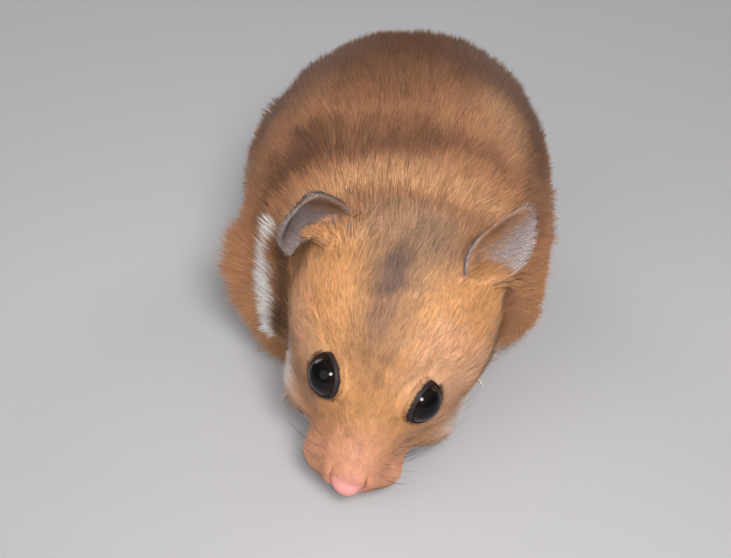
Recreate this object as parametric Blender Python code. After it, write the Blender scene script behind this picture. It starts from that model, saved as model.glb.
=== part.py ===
"""Life-size still model of a Syrian hamster that walks with its nose close to the floor.

The surface is the outline of the coat's tips. The whole body is lofted and fused first,
and then parted into head, lower jaw, neck, trunk and legs by thin cuts. Ears, eyes, nose,
paws and tail are modelled on their own and seated in the body with the same gap.

The animal faces -Y, +Z is up and its left side is at +X. The origin is on the floor,
under the middle of its box. Sizes below are in millimetres and angles in degrees.
"""
import math

import bmesh
import bpy
import numpy as np
from mathutils import Matrix, Vector

MM = 0.001
GAP = 0.3                      # clearance between neighbouring pieces
SIDES = {"left": 1, "right": -1}

# ---------------------------------------------------------------- trunk
# place along Y, middle along X, half width, top, bottom, height of the widest place
TRUNK_STATIONS = (
    (-32.0, 2.0, 16.5, 42.0, 11.0, 26.0),
    (-24.0, 1.0, 21.5, 46.5, 7.0, 24.0),
    (-12.0, 1.0, 26.5, 51.0, 5.0, 22.0),
    (2.0, 1.0, 29.0, 53.5, 4.5, 21.0),
    (16.0, 1.5, 29.2, 53.5, 4.5, 21.0),
    (29.0, 2.5, 27.0, 50.5, 5.0, 21.5),
    (39.0, 3.2, 22.0, 45.0, 7.0, 22.0),
    (46.5, 3.6, 15.0, 37.5, 10.5, 23.0),
    (51.0, 3.8, 8.0, 30.5, 15.0, 23.0),
)
TRUNK_FRONT_CAP = 6.0
TRUNK_REAR_CAP = 2.0
TRUNK_SQUARENESS = (2.1, 2.4)  # of the upper and the lower half of a section
THROAT = ((2.5, -25.0, 18.0), (13.5, 15.0, 9.5))  # centre and radii of the fur between the cheeks

# ---------------------------------------------------------------- head, in its own frame
HEAD_BASE = (5.8, -28.0, 39.0)
HEAD_HEADING = 4.0             # about the vertical
HEAD_PITCH = 51.0              # nose down
HEAD_TURN = -15.5              # about the head's own upright axis, towards its right
# place forward of the base, middle, half width, top, bottom, height of the widest place
HEAD_STATIONS = (
    (0.0, 0.0, 15.5, 8.2, -15.5, -2.5),
    (8.0, 0.0, 18.2, 11.2, -15.0, -3.0),
    (16.0, 0.0, 17.8, 12.3, -13.8, -4.0),
    (23.0, 0.0, 15.2, 10.8, -12.5, -5.0),
    (28.0, 0.0, 11.6, 8.4, -11.5, -5.0),
    (32.0, 0.0, 8.4, 6.2, -10.6, -4.4),
    (36.0, 0.0, 6.8, 4.2, -9.6, -3.2),
    (39.5, 0.0, 4.8, 2.6, -7.2, -1.8),
)
HEAD_REAR_CAP = 7.0
HEAD_NOSE_CAP = 2.6
HEAD_SQUARENESS = (1.85, 2.2)
# forward, outward, up; then the radii along the same three directions
WHISKER_PAD = ((36.4, 4.6, -4.6), (4.3, 4.3, 3.9))
CHEEK = ((24.8, 8.4, -6.5), (8.0, 6.9, 6.8))

EYE_RADIUS = 3.4
EYE_CENTRE = (25.0, 6.7, 5.0)
NOSE_RADII = (1.5, 2.1, 1.5)
NOSE_CENTRE = (41.2, 0.0, -0.6)

MOUTH_FRONT = (40.0, -6.2)     # forward and up, where the lips' line starts
MOUTH_CORNER = (28.5, -7.4)
JAW_REGION = (12.0, 20.0, 10.0)  # width, length and depth of the box that takes the jaw

EAR_HEIGHT = 14.0
EAR_WIDTH = 12.8
EAR_THICKNESS = 0.9
EAR_WRAP = 75.0                # half of the arc that a level section of the ear bends through
EAR_FINEST = 0.4               # half width kept at the very tip
EAR_GRID = (9, 8)              # rows from foot to tip, columns from rim to rim
# base, direction of the tip, direction the hollow faces, and how far the middle lies
# behind the rims; the first three are each forward, outward, up
EARS = {
    "left": ((4.6, 12.8, 7.0), (-0.86, 0.22, 0.42), (0.45, 0.62, 0.65), 3.0),
    "right": ((7.2, 13.8, 6.5), (-0.50, 0.16, 0.85), (0.72, -0.56, 0.42), 4.4),
}

# ---------------------------------------------------------------- limbs
# outward, place along Y, up, radius
FORELEG = ((19.5, -10.0, 24.0, 9.8), (20.5, -9.0, 14.0, 8.2), (12.5, -10.5, 4.0, 4.2))
FORELEG_STEP = {"left": 3.5, "right": -3.0}
FORELEG_TUCK = {"left": (0.0, 0.0, 0.0), "right": (0.8, 3.8, 0.0)}  # of each, towards the middle
FORELEG_ROOM = 1.0             # of the cut round the leg, beyond the leg's own radii
FORELEG_REACH = 8.0            # of that cut, outwards through the flank
WRIST_HEIGHT = 5.0
FOREPAW_AHEAD = 2.0            # from the wrist to the middle of the paw

HAUNCH_CENTRE = (17.5, 23.0, 20.0)
HAUNCH_RADII = (12.5, 19.0, 17.0)
HAUNCH_STEP = {"left": 0.0, "right": 3.0}
SHANK = ((19.0, 15.0, 12.0, 7.0), (17.5, 28.0, 5.0, 4.6))
HIND_CUT_RADII = (14.5, 21.0, 19.5)
HIND_CUT_CENTRE = (23.5, 24.0, 14.5)
ANKLE_HEIGHT = 6.0

TAIL = ((3.5, 46.0, 15.5, 3.2), (3.8, 51.5, 12.8, 2.0), (4.0, 55.5, 11.6, 1.2))

# ---------------------------------------------------------------- paws, pointing along -Y
# outward, place along Y, up, radius, from the heel forwards
FOREPAW_SOLE = ((0.0, 3.0, 6.0, 3.2), (0.0, 1.0, 2.2, 2.5), (0.0, -1.2, 1.7, 2.3))
HINDFOOT_SOLE = ((0.0, 0.0, 7.0, 3.4), (0.0, 0.5, 2.4, 2.7), (0.0, -5.0, 1.9, 2.4), (0.0, -10.5, 1.8, 2.9))
FOREPAW_HEADING = {"left": 10.0, "right": -4.0}
HINDFOOT_HEADING = {"left": 16.0, "right": -16.0}
FORETOES = (-27, -9, 9, 27)    # each toe's direction, splayed from straight ahead
HINDTOES = (-34, -16, 0, 16, 34)
TOE_LENGTH = {"fore": 4.2, "hind": 4.8}
TOE_ROOT = {"fore": -2.2, "hind": -12.0}
TOE_SHORTENING = {"fore": 1 / 30, "hind": 1 / 22}  # per degree of splay
TOE_SPREAD = {"fore": 1 / 12, "hind": 1 / 11}
TOE_STEP_BACK = {"fore": 0.0, "hind": 1 / 14}
KNUCKLE_AT = 0.45              # share of the toe's length
CLAW_LENGTH = 1.5
TOE_BALLS = ((1.5, 1.05), (1.65, 0.95), (0.7, 0.75))   # up and radius at root, knuckle and tip
CLAW_BALLS = ((0.95, 0.5), (0.45, 0.3))

# ---------------------------------------------------------------- cuts between the parts
HEAD_CUT = ((0.0, -33.0, 30.0), (0.0, -0.955, -0.296))  # a point, and the way to the head
NECK_CUT = ((0.0, -21.5, 28.0), (0.0, -0.99, 0.13))

# ---------------------------------------------------------------- surfaces
BODY_FINENESS = (0.9, 12, 2600)  # voxel, rounds of smoothing, triangles
PAW_FINENESS = (0.28, 2, 340)
SHARP_FROM = 50.0              # degrees between faces that meet in a visible edge
FUR_ROUGHNESS = 0.85
EAR_ROUGHNESS = 0.6
SKIN_ROUGHNESS = 0.55
EYE_ROUGHNESS = 0.08

COAT = (0.50, 0.26, 0.12)
SKIN_PINK = (0.62, 0.36, 0.33)
EAR_GREY = (0.30, 0.24, 0.21)
EYE_BLACK = (0.015, 0.012, 0.014)


def clear_scene():
    for item in list(bpy.data.objects):
        bpy.data.objects.remove(item, do_unlink=True)


# ---------------------------------------------------------------- mesh tools
def object_from(name, bm):
    bmesh.ops.recalc_face_normals(bm, faces=bm.faces)
    mesh = bpy.data.meshes.new(name)
    bm.to_mesh(mesh)
    bm.free()
    item = bpy.data.objects.new(name, mesh)
    bpy.context.collection.objects.link(item)
    return item


def settle(item):
    """Applies the object's modifiers to its mesh."""
    evaluated = item.evaluated_get(bpy.context.evaluated_depsgraph_get())
    mesh = bpy.data.meshes.new_from_object(evaluated)
    item.modifiers.clear()
    item.data = mesh


def joined(name, pieces):
    bm = bmesh.new()
    for piece in pieces:
        bm.from_mesh(piece.data)
        bpy.data.objects.remove(piece, do_unlink=True)
    mesh = bpy.data.meshes.new(name)
    bm.to_mesh(mesh)
    bm.free()
    item = bpy.data.objects.new(name, mesh)
    bpy.context.collection.objects.link(item)
    return item


def fused(name, pieces, voxel, smoothing, triangles):
    """Overlapping closed pieces made one smooth skin of about so many triangles."""
    item = joined(name, pieces)
    remesh = item.modifiers.new("fuse", "REMESH")
    remesh.mode = "VOXEL"
    remesh.voxel_size = voxel * MM
    smooth = item.modifiers.new("soften", "SMOOTH")
    smooth.factor = 0.5
    smooth.iterations = smoothing
    settle(item)
    item.data.calc_loop_triangles()
    decimate = item.modifiers.new("thin_out", "DECIMATE")
    decimate.ratio = min(1.0, triangles / len(item.data.loop_triangles))
    settle(item)
    return item


def boolean(item, operation, cutter):
    step = item.modifiers.new(operation.lower(), "BOOLEAN")
    step.operation = operation
    step.solver = "EXACT"
    step.object = cutter
    settle(item)
    bpy.data.objects.remove(cutter, do_unlink=True)


def keep_largest_island(item):
    """Drops the crumbs that a cut can leave beside the main piece."""
    bm = bmesh.new()
    bm.from_mesh(item.data)
    unseen = set(bm.verts)
    islands = []
    while unseen:
        front = [unseen.pop()]
        island = list(front)
        while front:
            vert = front.pop()
            for edge in vert.link_edges:
                other = edge.other_vert(vert)
                if other in unseen:
                    unseen.remove(other)
                    front.append(other)
                    island.append(other)
        islands.append(island)
    islands.sort(key=len)
    for island in islands[:-1]:
        bmesh.ops.delete(bm, geom=island, context="VERTS")
    bm.to_mesh(item.data)
    bm.free()


def part_off(body, name, region):
    """The body's piece inside the region. The body keeps what lies beyond the gap."""
    piece = bpy.data.objects.new(name, body.data.copy())
    bpy.context.collection.objects.link(piece)
    boolean(piece, "INTERSECT", region(0.0))
    boolean(body, "DIFFERENCE", region(GAP))
    keep_largest_island(piece)
    keep_largest_island(body)
    return piece


# ---------------------------------------------------------------- shapes
def resampled(stations, count):
    """The stations at even steps, read from a smooth curve through them."""
    table = np.array(stations)
    along = table[:, 0]
    slopes = np.gradient(table, along, axis=0)
    places = np.linspace(along[0], along[-1], count)
    span = np.clip(np.searchsorted(along, places, side="right") - 1, 0, len(along) - 2)
    width = (along[span + 1] - along[span])[:, None]
    s = (places - along[span])[:, None] / width
    return (
        (1 + 2 * s) * (1 - s) ** 2 * table[span]
        + s * (1 - s) ** 2 * width * slopes[span]
        + s * s * (3 - 2 * s) * table[span + 1]
        + s * s * (s - 1) * width * slopes[span + 1]
    )


def signed_power(value, power):
    return math.copysign(abs(value) ** power, value)


def section(row, squareness, sides=36):
    """A closed ring: a superellipse with its own upper and lower half."""
    along, middle, half_width, top, bottom, widest = row
    ring = []
    for step in range(sides):
        angle = math.tau * step / sides
        rise = math.sin(angle)
        upper = rise > 0
        power = 2 / squareness[0 if upper else 1]
        reach = top - widest if upper else widest - bottom
        ring.append(Vector((
            middle + half_width * signed_power(math.cos(angle), power),
            along,
            widest + reach * signed_power(rise, power),
        )))
    return ring


def round_cap(ring, depth, steps=5):
    """Rings that close a ring like a dome, and the dome's pole."""
    centre = sum(ring, Vector()) / len(ring)
    rings = []
    for step in range(1, steps):
        angle = math.radians(90.0 * step / steps)
        push = Vector((0.0, depth * math.sin(angle), 0.0))
        rings.append([centre + (corner - centre) * math.cos(angle) + push for corner in ring])
    return rings, centre + Vector((0.0, depth, 0.0))


def loft(name, stations, squareness, caps, matrix, count=24):
    """A closed body through the stations, with domes on both ends."""
    rings = [section(row, squareness) for row in resampled(stations, count)]
    first, first_pole = round_cap(rings[0], -caps[0])
    last, last_pole = round_cap(rings[-1], caps[1])
    rings = first[::-1] + rings + last
    bm = bmesh.new()
    loops = [[bm.verts.new(matrix @ (corner * MM)) for corner in ring] for ring in rings]
    for near, far in zip(loops, loops[1:]):
        for k in range(len(near)):
            j = (k + 1) % len(near)
            bm.faces.new((near[k], near[j], far[j], far[k]))
    for loop, pole in ((loops[0], first_pole), (loops[-1], last_pole)):
        tip = bm.verts.new(matrix @ (pole * MM))
        for k in range(len(loop)):
            bm.faces.new((loop[k], loop[(k + 1) % len(loop)], tip))
    return object_from(name, bm)


def ellipsoid(name, centre, radii, matrix=Matrix(), rings=10):
    bm = bmesh.new()
    bmesh.ops.create_uvsphere(bm, u_segments=2 * rings, v_segments=rings, radius=1.0)
    sized = Matrix.Translation(Vector(centre) * MM) @ Matrix.Diagonal((*(Vector(radii) * MM), 1.0))
    bmesh.ops.transform(bm, matrix=matrix @ sized, verts=bm.verts)
    return object_from(name, bm)


def hull_of_balls(name, balls, matrix=Matrix(), grow=0.0, rings=7):
    """The tight skin round balls given as x, y, z and radius."""
    bm = bmesh.new()
    for x, y, z, radius in balls:
        place = Matrix.Translation(Vector((x, y, z)) * MM)
        bmesh.ops.create_uvsphere(
            bm, u_segments=2 * rings, v_segments=rings, radius=(radius + grow) * MM, matrix=place)
    found = bmesh.ops.convex_hull(bm, input=bm.verts)
    spare = [part for part in found["geom_interior"] if isinstance(part, bmesh.types.BMVert)]
    bmesh.ops.delete(bm, geom=spare, context="VERTS")
    skin = set(part for part in found["geom"] if isinstance(part, bmesh.types.BMFace))
    inner = [face for face in bm.faces if face not in skin]
    bmesh.ops.delete(bm, geom=inner, context="FACES_ONLY")
    loose = [vert for vert in bm.verts if not vert.link_faces]
    bmesh.ops.delete(bm, geom=loose, context="VERTS")
    bmesh.ops.transform(bm, matrix=matrix, verts=bm.verts)
    return object_from(name, bm)


def chain_of_balls(name, balls, matrix=Matrix()):
    """A bent limb: each ball joined to the next by its own tight skin."""
    pairs = [hull_of_balls(name, pair, matrix) for pair in zip(balls, balls[1:])]
    return joined(name, pairs)


def half_space(name, origin, normal, grow=0.0, size=200.0):
    """A box so large that only its face through the origin matters."""
    turn = Vector(normal).to_track_quat("Z", "Y").to_matrix().to_4x4()
    place = Matrix.Translation(Vector(origin) * MM) @ turn
    lift = Matrix.Translation(Vector((0.0, 0.0, (size / 2 - grow) * MM)))
    bm = bmesh.new()
    bmesh.ops.create_cube(bm, size=size * MM, matrix=place @ lift)
    return object_from(name, bm)


def mirrored(place, side, shift=0.0):
    """A place given for the left side, moved to the side asked for, and along Y."""
    x, y, z, *rest = place
    return (SIDES[side] * x, y + shift, z, *rest)


def foreleg_balls(side):
    """The shoulder, the elbow and the wrist of one foreleg."""
    return [
        mirrored((x - tuck, *rest), side, FORELEG_STEP[side])
        for (x, *rest), tuck in zip(FORELEG, FORELEG_TUCK[side])
    ]


# ---------------------------------------------------------------- head's frame
def rotation(axis, degrees):
    return Matrix.Rotation(math.radians(degrees), 4, axis)


def head_matrix():
    turned = rotation("Z", HEAD_HEADING) @ rotation("X", HEAD_PITCH) @ rotation("Z", HEAD_TURN)
    return Matrix.Translation(Vector(HEAD_BASE) * MM) @ turned


def in_head(place, side="left"):
    """Forward, outward and up from the head's base, as X, Y and Z of the head's frame."""
    forward, outward, up = place
    return Vector((SIDES[side] * outward, -forward, up))


# ---------------------------------------------------------------- body
def whole_body():
    head = head_matrix()
    forward_stations = [(-row[0], *row[1:]) for row in reversed(HEAD_STATIONS)]
    pieces = [
        loft("trunk", TRUNK_STATIONS, TRUNK_SQUARENESS, (TRUNK_FRONT_CAP, TRUNK_REAR_CAP), Matrix()),
        loft("head", forward_stations, HEAD_SQUARENESS, (HEAD_NOSE_CAP, HEAD_REAR_CAP), head),
    ]
    pieces.append(ellipsoid("throat", *THROAT))
    for side in SIDES:
        for place, (forward, outward, up) in (WHISKER_PAD, CHEEK):
            pieces.append(ellipsoid("mass", in_head(place, side), (outward, forward, up), head))
        pieces.append(chain_of_balls("foreleg", foreleg_balls(side)))
        haunch = mirrored(HAUNCH_CENTRE, side, HAUNCH_STEP[side])
        pieces.append(ellipsoid("haunch", haunch, HAUNCH_RADII))
        shank = [mirrored(ball, side, HAUNCH_STEP[side]) for ball in SHANK]
        pieces.append(chain_of_balls("shank", shank))
    return fused("trunk", pieces, *BODY_FINENESS)


def part_legs(body):
    """The four legs, cut off flat above the paws."""
    legs = []
    for side in SIDES:
        balls = foreleg_balls(side)
        reach = SIDES[side] * FORELEG_REACH
        balls += [(x + reach, y, z, radius) for x, y, z, radius in balls]
        legs.append((
            part_off(body, f"foreleg_{side}",
                     lambda grow: hull_of_balls("cut", balls, grow=FORELEG_ROOM + grow)),
            WRIST_HEIGHT,
        ))
        centre = mirrored(HIND_CUT_CENTRE, side, HAUNCH_STEP[side])
        legs.append((
            part_off(body, f"hindleg_{side}",
                     lambda grow: ellipsoid("cut", centre, [r + grow for r in HIND_CUT_RADII])),
            ANKLE_HEIGHT,
        ))
    for leg, height in legs:
        boolean(leg, "INTERSECT", half_space("cut", (0, 0, height), (0, 0, 1)))
        keep_largest_island(leg)
    return [leg for leg, height in legs]


def part_head_and_neck(body):
    head = part_off(body, "head", lambda grow: half_space("cut", *HEAD_CUT, grow))
    neck = part_off(body, "neck", lambda grow: half_space("cut", *NECK_CUT, grow))
    return head, neck


def part_jaw(head):
    """The chin and what is behind it, as wide as the mouth."""
    front = Vector((0.0, -MOUTH_FRONT[0], MOUTH_FRONT[1]))
    corner = Vector((0.0, -MOUTH_CORNER[0], MOUTH_CORNER[1]))
    line = (front - corner).normalized()
    below = line.cross(Vector((1.0, 0.0, 0.0)))

    def region(grow):
        width, length, depth = JAW_REGION
        middle = corner + line * (length / 2 - grow / 2) - below * (depth / 2 - grow / 2)
        axes = Matrix((Vector((1, 0, 0)), line, below)).transposed().to_4x4()
        box = Matrix.Diagonal(((width + grow) * MM, (length + grow) * MM, (depth + grow) * MM, 1.0))
        bm = bmesh.new()
        bmesh.ops.create_cube(bm, size=1.0)
        place = head_matrix() @ Matrix.Translation(middle * MM) @ axes @ box
        bmesh.ops.transform(bm, matrix=place, verts=bm.verts)
        return object_from("cut", bm)

    return part_off(head, "lower_jaw", region)


def seat(body, name, shape):
    """A piece of its own, in a socket of the body that is larger by the gap."""
    boolean(body, "DIFFERENCE", shape("cut", GAP))
    return shape(name, 0.0)


def seat_eyes(head):
    eyes = []
    for side in SIDES:
        centre = in_head(EYE_CENTRE, side)

        def ball(name, grow):
            return ellipsoid(name, centre, [EYE_RADIUS + grow] * 3, head_matrix(), rings=9)

        eyes.append(seat(head, f"eye_{side}", ball))
    return eyes


def seat_nose(head):
    forward, outward, up = NOSE_RADII

    def pad(name, grow):
        radii = (outward + grow, forward + grow, up + grow)
        return ellipsoid(name, in_head(NOSE_CENTRE), radii, head_matrix(), rings=6)

    return seat(head, "nose", pad)


# ---------------------------------------------------------------- ears
def ear_half_width(s):
    """The leaf's outline: a little narrower at the foot, widest below the middle, then a point."""
    foot = 0.66 + 0.34 * math.sin(math.pi / 2 * min(s / 0.4, 1.0))
    point = (1 - max(0.0, (s - 0.15) / 0.85) ** 1.9) ** 0.72
    return max(EAR_WIDTH / 2 * foot * point, EAR_FINEST)


def ear(side, body):
    """A thin cupped leaf whose foot follows the body's surface."""
    base, tip, facing, hollow = EARS[side]
    up = in_head(tip, side).normalized()
    out = in_head(facing, side)
    out = (out - up * out.dot(up)).normalized()
    across = up.cross(out)
    rows, columns = EAR_GRID
    wrap = math.radians(EAR_WRAP)
    bm = bmesh.new()
    grid = []
    for row in range(rows + 1):
        s = row / rows
        line = []
        for column in range(columns + 1):
            angle = wrap * (2 * column / columns - 1)
            half = ear_half_width(s)
            cup = hollow * (1 - 0.55 * s) * half / (EAR_WIDTH / 2)
            place = (
                in_head(base, side)
                + up * (EAR_HEIGHT * s)
                + across * (half * math.sin(angle) / math.sin(wrap))
                - out * (cup * math.cos(angle))
            )
            line.append(bm.verts.new(head_matrix() @ (place * MM)))
        grid.append(line)
    for low, high in zip(grid, grid[1:]):
        for k in range(columns):
            bm.faces.new((low[k], low[k + 1], high[k + 1], high[k]))
    item = object_from(f"ear_{side}", bm)
    shell = item.modifiers.new("shell", "SOLIDIFY")
    shell.thickness = EAR_THICKNESS * MM
    shell.offset = 0.0
    settle(item)
    grown = bpy.data.objects.new("cut", body.data.copy())
    bpy.context.collection.objects.link(grown)
    swell = grown.modifiers.new("swell", "DISPLACE")
    swell.strength = GAP * MM
    swell.mid_level = 0.0
    settle(grown)
    boolean(item, "DIFFERENCE", grown)
    keep_largest_island(item)
    return item


# ---------------------------------------------------------------- paws and tail
def toe(name, kind, splay, turned):
    """Root, knuckle and tip of one toe, and the claw that grows from its tip."""
    heading = math.radians(splay)
    direction = Vector((math.sin(heading), -math.cos(heading), 0.0))
    length = TOE_LENGTH[kind] - abs(splay) * TOE_SHORTENING[kind]
    root = Vector((splay * TOE_SPREAD[kind], TOE_ROOT[kind] + abs(splay) * TOE_STEP_BACK[kind], 0.0))
    places = [root + direction * share for share in (0.0, KNUCKLE_AT * length, length)]
    bones = [(place.x, place.y, *ball) for place, ball in zip(places, TOE_BALLS)]
    claw_places = (places[-1], places[-1] + direction * CLAW_LENGTH)
    claw = [(place.x, place.y, *ball) for place, ball in zip(claw_places, CLAW_BALLS)]
    return [chain_of_balls(name, bones, turned), chain_of_balls(name, claw, turned)]


def paw(name, kind, place, heading, sole, toes, cut_height):
    """A paw with its sole flat on the floor, cut level where the leg begins."""
    turned = Matrix.Translation(Vector(place) * MM) @ rotation("Z", heading)
    pieces = [chain_of_balls(name, sole, turned)]
    for splay in toes:
        pieces += toe(name, kind, splay, turned)
    item = fused(name, pieces, *PAW_FINENESS)
    boolean(item, "INTERSECT", half_space("cut", (0, 0, 0), (0, 0, 1)))
    boolean(item, "INTERSECT", half_space("cut", (0, 0, cut_height - GAP), (0, 0, -1)))
    keep_largest_island(item)
    return item


def forepaw(side):
    x, y, _, _ = mirrored(FORELEG[-1], side, FORELEG_STEP[side])
    return paw(f"forepaw_{side}", "fore", (x, y - FOREPAW_AHEAD, 0.0), FOREPAW_HEADING[side],
               FOREPAW_SOLE, FORETOES, WRIST_HEIGHT)


def hindfoot(side):
    x, y, _, _ = mirrored(SHANK[-1], side, HAUNCH_STEP[side])
    return paw(f"hindfoot_{side}", "hind", (x, y, 0.0), HINDFOOT_HEADING[side],
               HINDFOOT_SOLE, HINDTOES, ANKLE_HEIGHT)


def seat_tail(trunk):
    def stub(name, grow):
        return hull_of_balls(name, TAIL, grow=grow, rings=5)

    return seat(trunk, "tail", stub)


# ---------------------------------------------------------------- finish and place
def finish(item, colour, roughness):
    material = bpy.data.materials.new(f"{item.name}_finish")
    material.use_nodes = True
    shader = material.node_tree.nodes["Principled BSDF"]
    shader.inputs["Base Color"].default_value = (*colour, 1.0)
    shader.inputs["Roughness"].default_value = roughness
    shader.inputs["Metallic"].default_value = 0.0
    item.data.materials.clear()
    item.data.materials.append(material)
    item.data.shade_smooth()
    item.data.set_sharp_from_angle(angle=math.radians(SHARP_FROM))


def centre_on_floor(items):
    """Moves everything so that the origin is under the middle of the whole box."""
    corners = np.array([vert.co for item in items for vert in item.data.vertices])
    low, high = corners.min(axis=0), corners.max(axis=0)
    shift = Matrix.Translation((-(low[0] + high[0]) / 2, -(low[1] + high[1]) / 2, -low[2]))
    for item in items:
        item.data.transform(shift)


def main():
    clear_scene()
    trunk = whole_body()
    ears = [ear(side, trunk) for side in SIDES]
    legs = part_legs(trunk)
    head, neck = part_head_and_neck(trunk)
    jaw = part_jaw(head)
    eyes = seat_eyes(head)
    nose = seat_nose(head)
    tail = seat_tail(trunk)
    paws = [forepaw(side) for side in SIDES] + [hindfoot(side) for side in SIDES]

    for item in [trunk, neck, head, jaw] + legs:
        finish(item, COAT, FUR_ROUGHNESS)
    for item in ears:
        finish(item, EAR_GREY, EAR_ROUGHNESS)
    for item in [nose, tail] + paws:
        finish(item, SKIN_PINK, SKIN_ROUGHNESS)
    for item in eyes:
        finish(item, EYE_BLACK, EYE_ROUGHNESS)
    centre_on_floor([trunk, neck, head, jaw, nose, tail] + legs + ears + eyes + paws)


main()
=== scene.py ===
"""Looks of a Syrian hamster in its natural colours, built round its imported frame.

One skin stands for all the flesh. Over it lies a coat of fine tapered locks, each a closed
solid that follows the lie of the fur. Eyes, claws and whiskers are pieces of their own.
The animal faces -Y, its left side is at +X and it stands on z = 0. Lengths are metres unless
a name or a comment says millimetres. Places on the head and body in the tables of markings
and of the fur are millimetres, those on the head forward, outward and up from the middle
between the eyes.
"""
import math

import bmesh
import bpy
import numpy as np
from bpy.props import FloatProperty, FloatVectorProperty, IntProperty, PointerProperty
from mathutils import Matrix, Vector
from mathutils.bvhtree import BVHTree
from mathutils.kdtree import KDTree


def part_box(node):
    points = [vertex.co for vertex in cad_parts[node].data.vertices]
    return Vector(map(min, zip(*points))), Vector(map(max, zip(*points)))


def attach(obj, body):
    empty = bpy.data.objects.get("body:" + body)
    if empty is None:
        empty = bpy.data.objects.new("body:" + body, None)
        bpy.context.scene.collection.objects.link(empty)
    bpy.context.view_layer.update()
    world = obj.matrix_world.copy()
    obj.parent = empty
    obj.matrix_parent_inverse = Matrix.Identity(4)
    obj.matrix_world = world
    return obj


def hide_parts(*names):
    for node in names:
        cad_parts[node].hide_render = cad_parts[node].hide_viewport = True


bl_info = {
    "name": "Syrian Hamster Looks",
    "version": (1, 0, 0),
    "blender": (4, 5, 0),
    "location": "View3D > Sidebar > Hamster",
    "description": "Skin, coat, eyes, claws, whiskers and stage of a life-size Syrian hamster",
    "category": "Object",
}

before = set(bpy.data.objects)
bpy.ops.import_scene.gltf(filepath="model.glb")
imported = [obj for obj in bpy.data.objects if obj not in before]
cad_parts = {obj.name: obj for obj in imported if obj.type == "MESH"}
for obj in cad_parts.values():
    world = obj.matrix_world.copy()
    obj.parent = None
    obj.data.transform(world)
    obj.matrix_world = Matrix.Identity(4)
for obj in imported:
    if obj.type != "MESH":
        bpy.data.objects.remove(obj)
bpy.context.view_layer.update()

MM = 0.001
SIDES = {"left": 1.0, "right": -1.0}
EYES = {"eye_left": 1.0, "eye_right": -1.0}
FLESH = sorted(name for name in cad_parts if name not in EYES)
UV_NAME = "OFBake"


# ==================================================================== places
def node_middle(name):
    low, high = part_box(name)
    return np.array((low + high) / 2)


def unit(vectors):
    vectors = np.asarray(vectors, float)
    length = np.linalg.norm(vectors, axis=-1, keepdims=True)
    return vectors / np.maximum(length, 1e-12)


class HeadFrame:
    """Turns forward, outward and up from between the eyes into places, and back."""

    NOSE_AHEAD_MM = 16.2           # of the line between the eyes, along the head
    NOSE_BELOW_MM = 5.6

    def __init__(self):
        left_eye, right_eye = node_middle("eye_left"), node_middle("eye_right")
        self.origin = (left_eye + right_eye) / 2
        self.left = unit(left_eye - right_eye)
        to_nose = node_middle("nose") - self.origin
        to_nose -= self.left * (to_nose @ self.left)
        self.forward = unit(
            self.NOSE_AHEAD_MM * to_nose - self.NOSE_BELOW_MM * np.cross(self.left, to_nose))
        self.up = np.cross(self.forward, self.left)
        self.axes = np.array((self.forward, self.left, self.up))

    def place(self, forward, outward, up, side=1.0):
        return self.origin + np.array((forward, outward * side, up)) @ self.axes * MM

    def direction(self, forward, outward, up, side=1.0):
        return unit(np.array((forward, outward * side, up)) @ self.axes)

    def read_mm(self, points):
        return (np.asarray(points) - self.origin) @ self.axes.T / MM


HEAD = HeadFrame()
NOSE_TIP = node_middle("nose")
EYE_OUTWARD = {1.0: 0.5 * MM, -1.0: 0.1 * MM}     # of each ball from its node's middle
EYE_MIDDLE = {
    name: node_middle(name) + HEAD.left * side * EYE_OUTWARD[side] for name, side in EYES.items()}
TAIL_MIDDLE = node_middle("tail")


def smoothstep(low, high, values):
    share = np.clip((np.asarray(values, float) - low) / (high - low), 0.0, 1.0)
    return share * share * (3 - 2 * share)


def ripple(points, size_mm, seed):
    """Smooth values from about -1 to 1 that wander over the given size."""
    waves = 7
    rng = np.random.default_rng(seed)
    turn = unit(rng.normal(size=(waves, 3))) * rng.uniform(0.6, 1.5, (waves, 1))
    phase = rng.uniform(0.0, math.tau, waves)
    waved = np.sin(points @ turn.T * (math.tau / (size_mm * MM)) + phase)
    return waved.sum(axis=1) / math.sqrt(waves) * 0.8


# ==================================================================== coat's measures
# millimetres of place, and the fur's length there: forward on the head, back along the trunk, up the legs
HEAD_FUR = ((-34, -26, -18, -10, -3, 4, 9, 14, 17), (9.0, 7.6, 5.6, 4.0, 2.9, 2.2, 1.7, 1.2, 0.8))
TRUNK_FUR = ((-30, -10, 20, 45, 54), (8.0, 9.0, 9.5, 10.0, 7.0))
LEG_FUR = ((4, 7, 13, 22), (1.8, 2.8, 5.5, 8.5))
# the same for how many times longer it is low on the head and low on the trunk
LOW_HEAD_FUR = ((-18, -10), (1.4, 1.0))
LOW_TRUNK_FUR = ((6, 16), (0.8, 1.0))
SHORT_FUR = ((("forepaw", "hindfoot"), 1.2), (("ear",), 1.3), (("tail",), 1.6), (("nose",), 0.5))
FRINGE = 0.7            # share by which the fur hangs longer along the cheek's lower edge
FRINGE_BELOW, FRINGE_OUTWARD, FRINGE_BEHIND = (-4.0, -8.0), (9.0, 12.0), (8.0, 2.0)
NECK_LEAST = 0.9        # of the trunk's fur, where the head's shorter fur meets it


def owned_by(owner, *parts):
    return np.isin(owner, [i for i, name in enumerate(FLESH) if name.split("_")[0] in parts])


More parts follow.
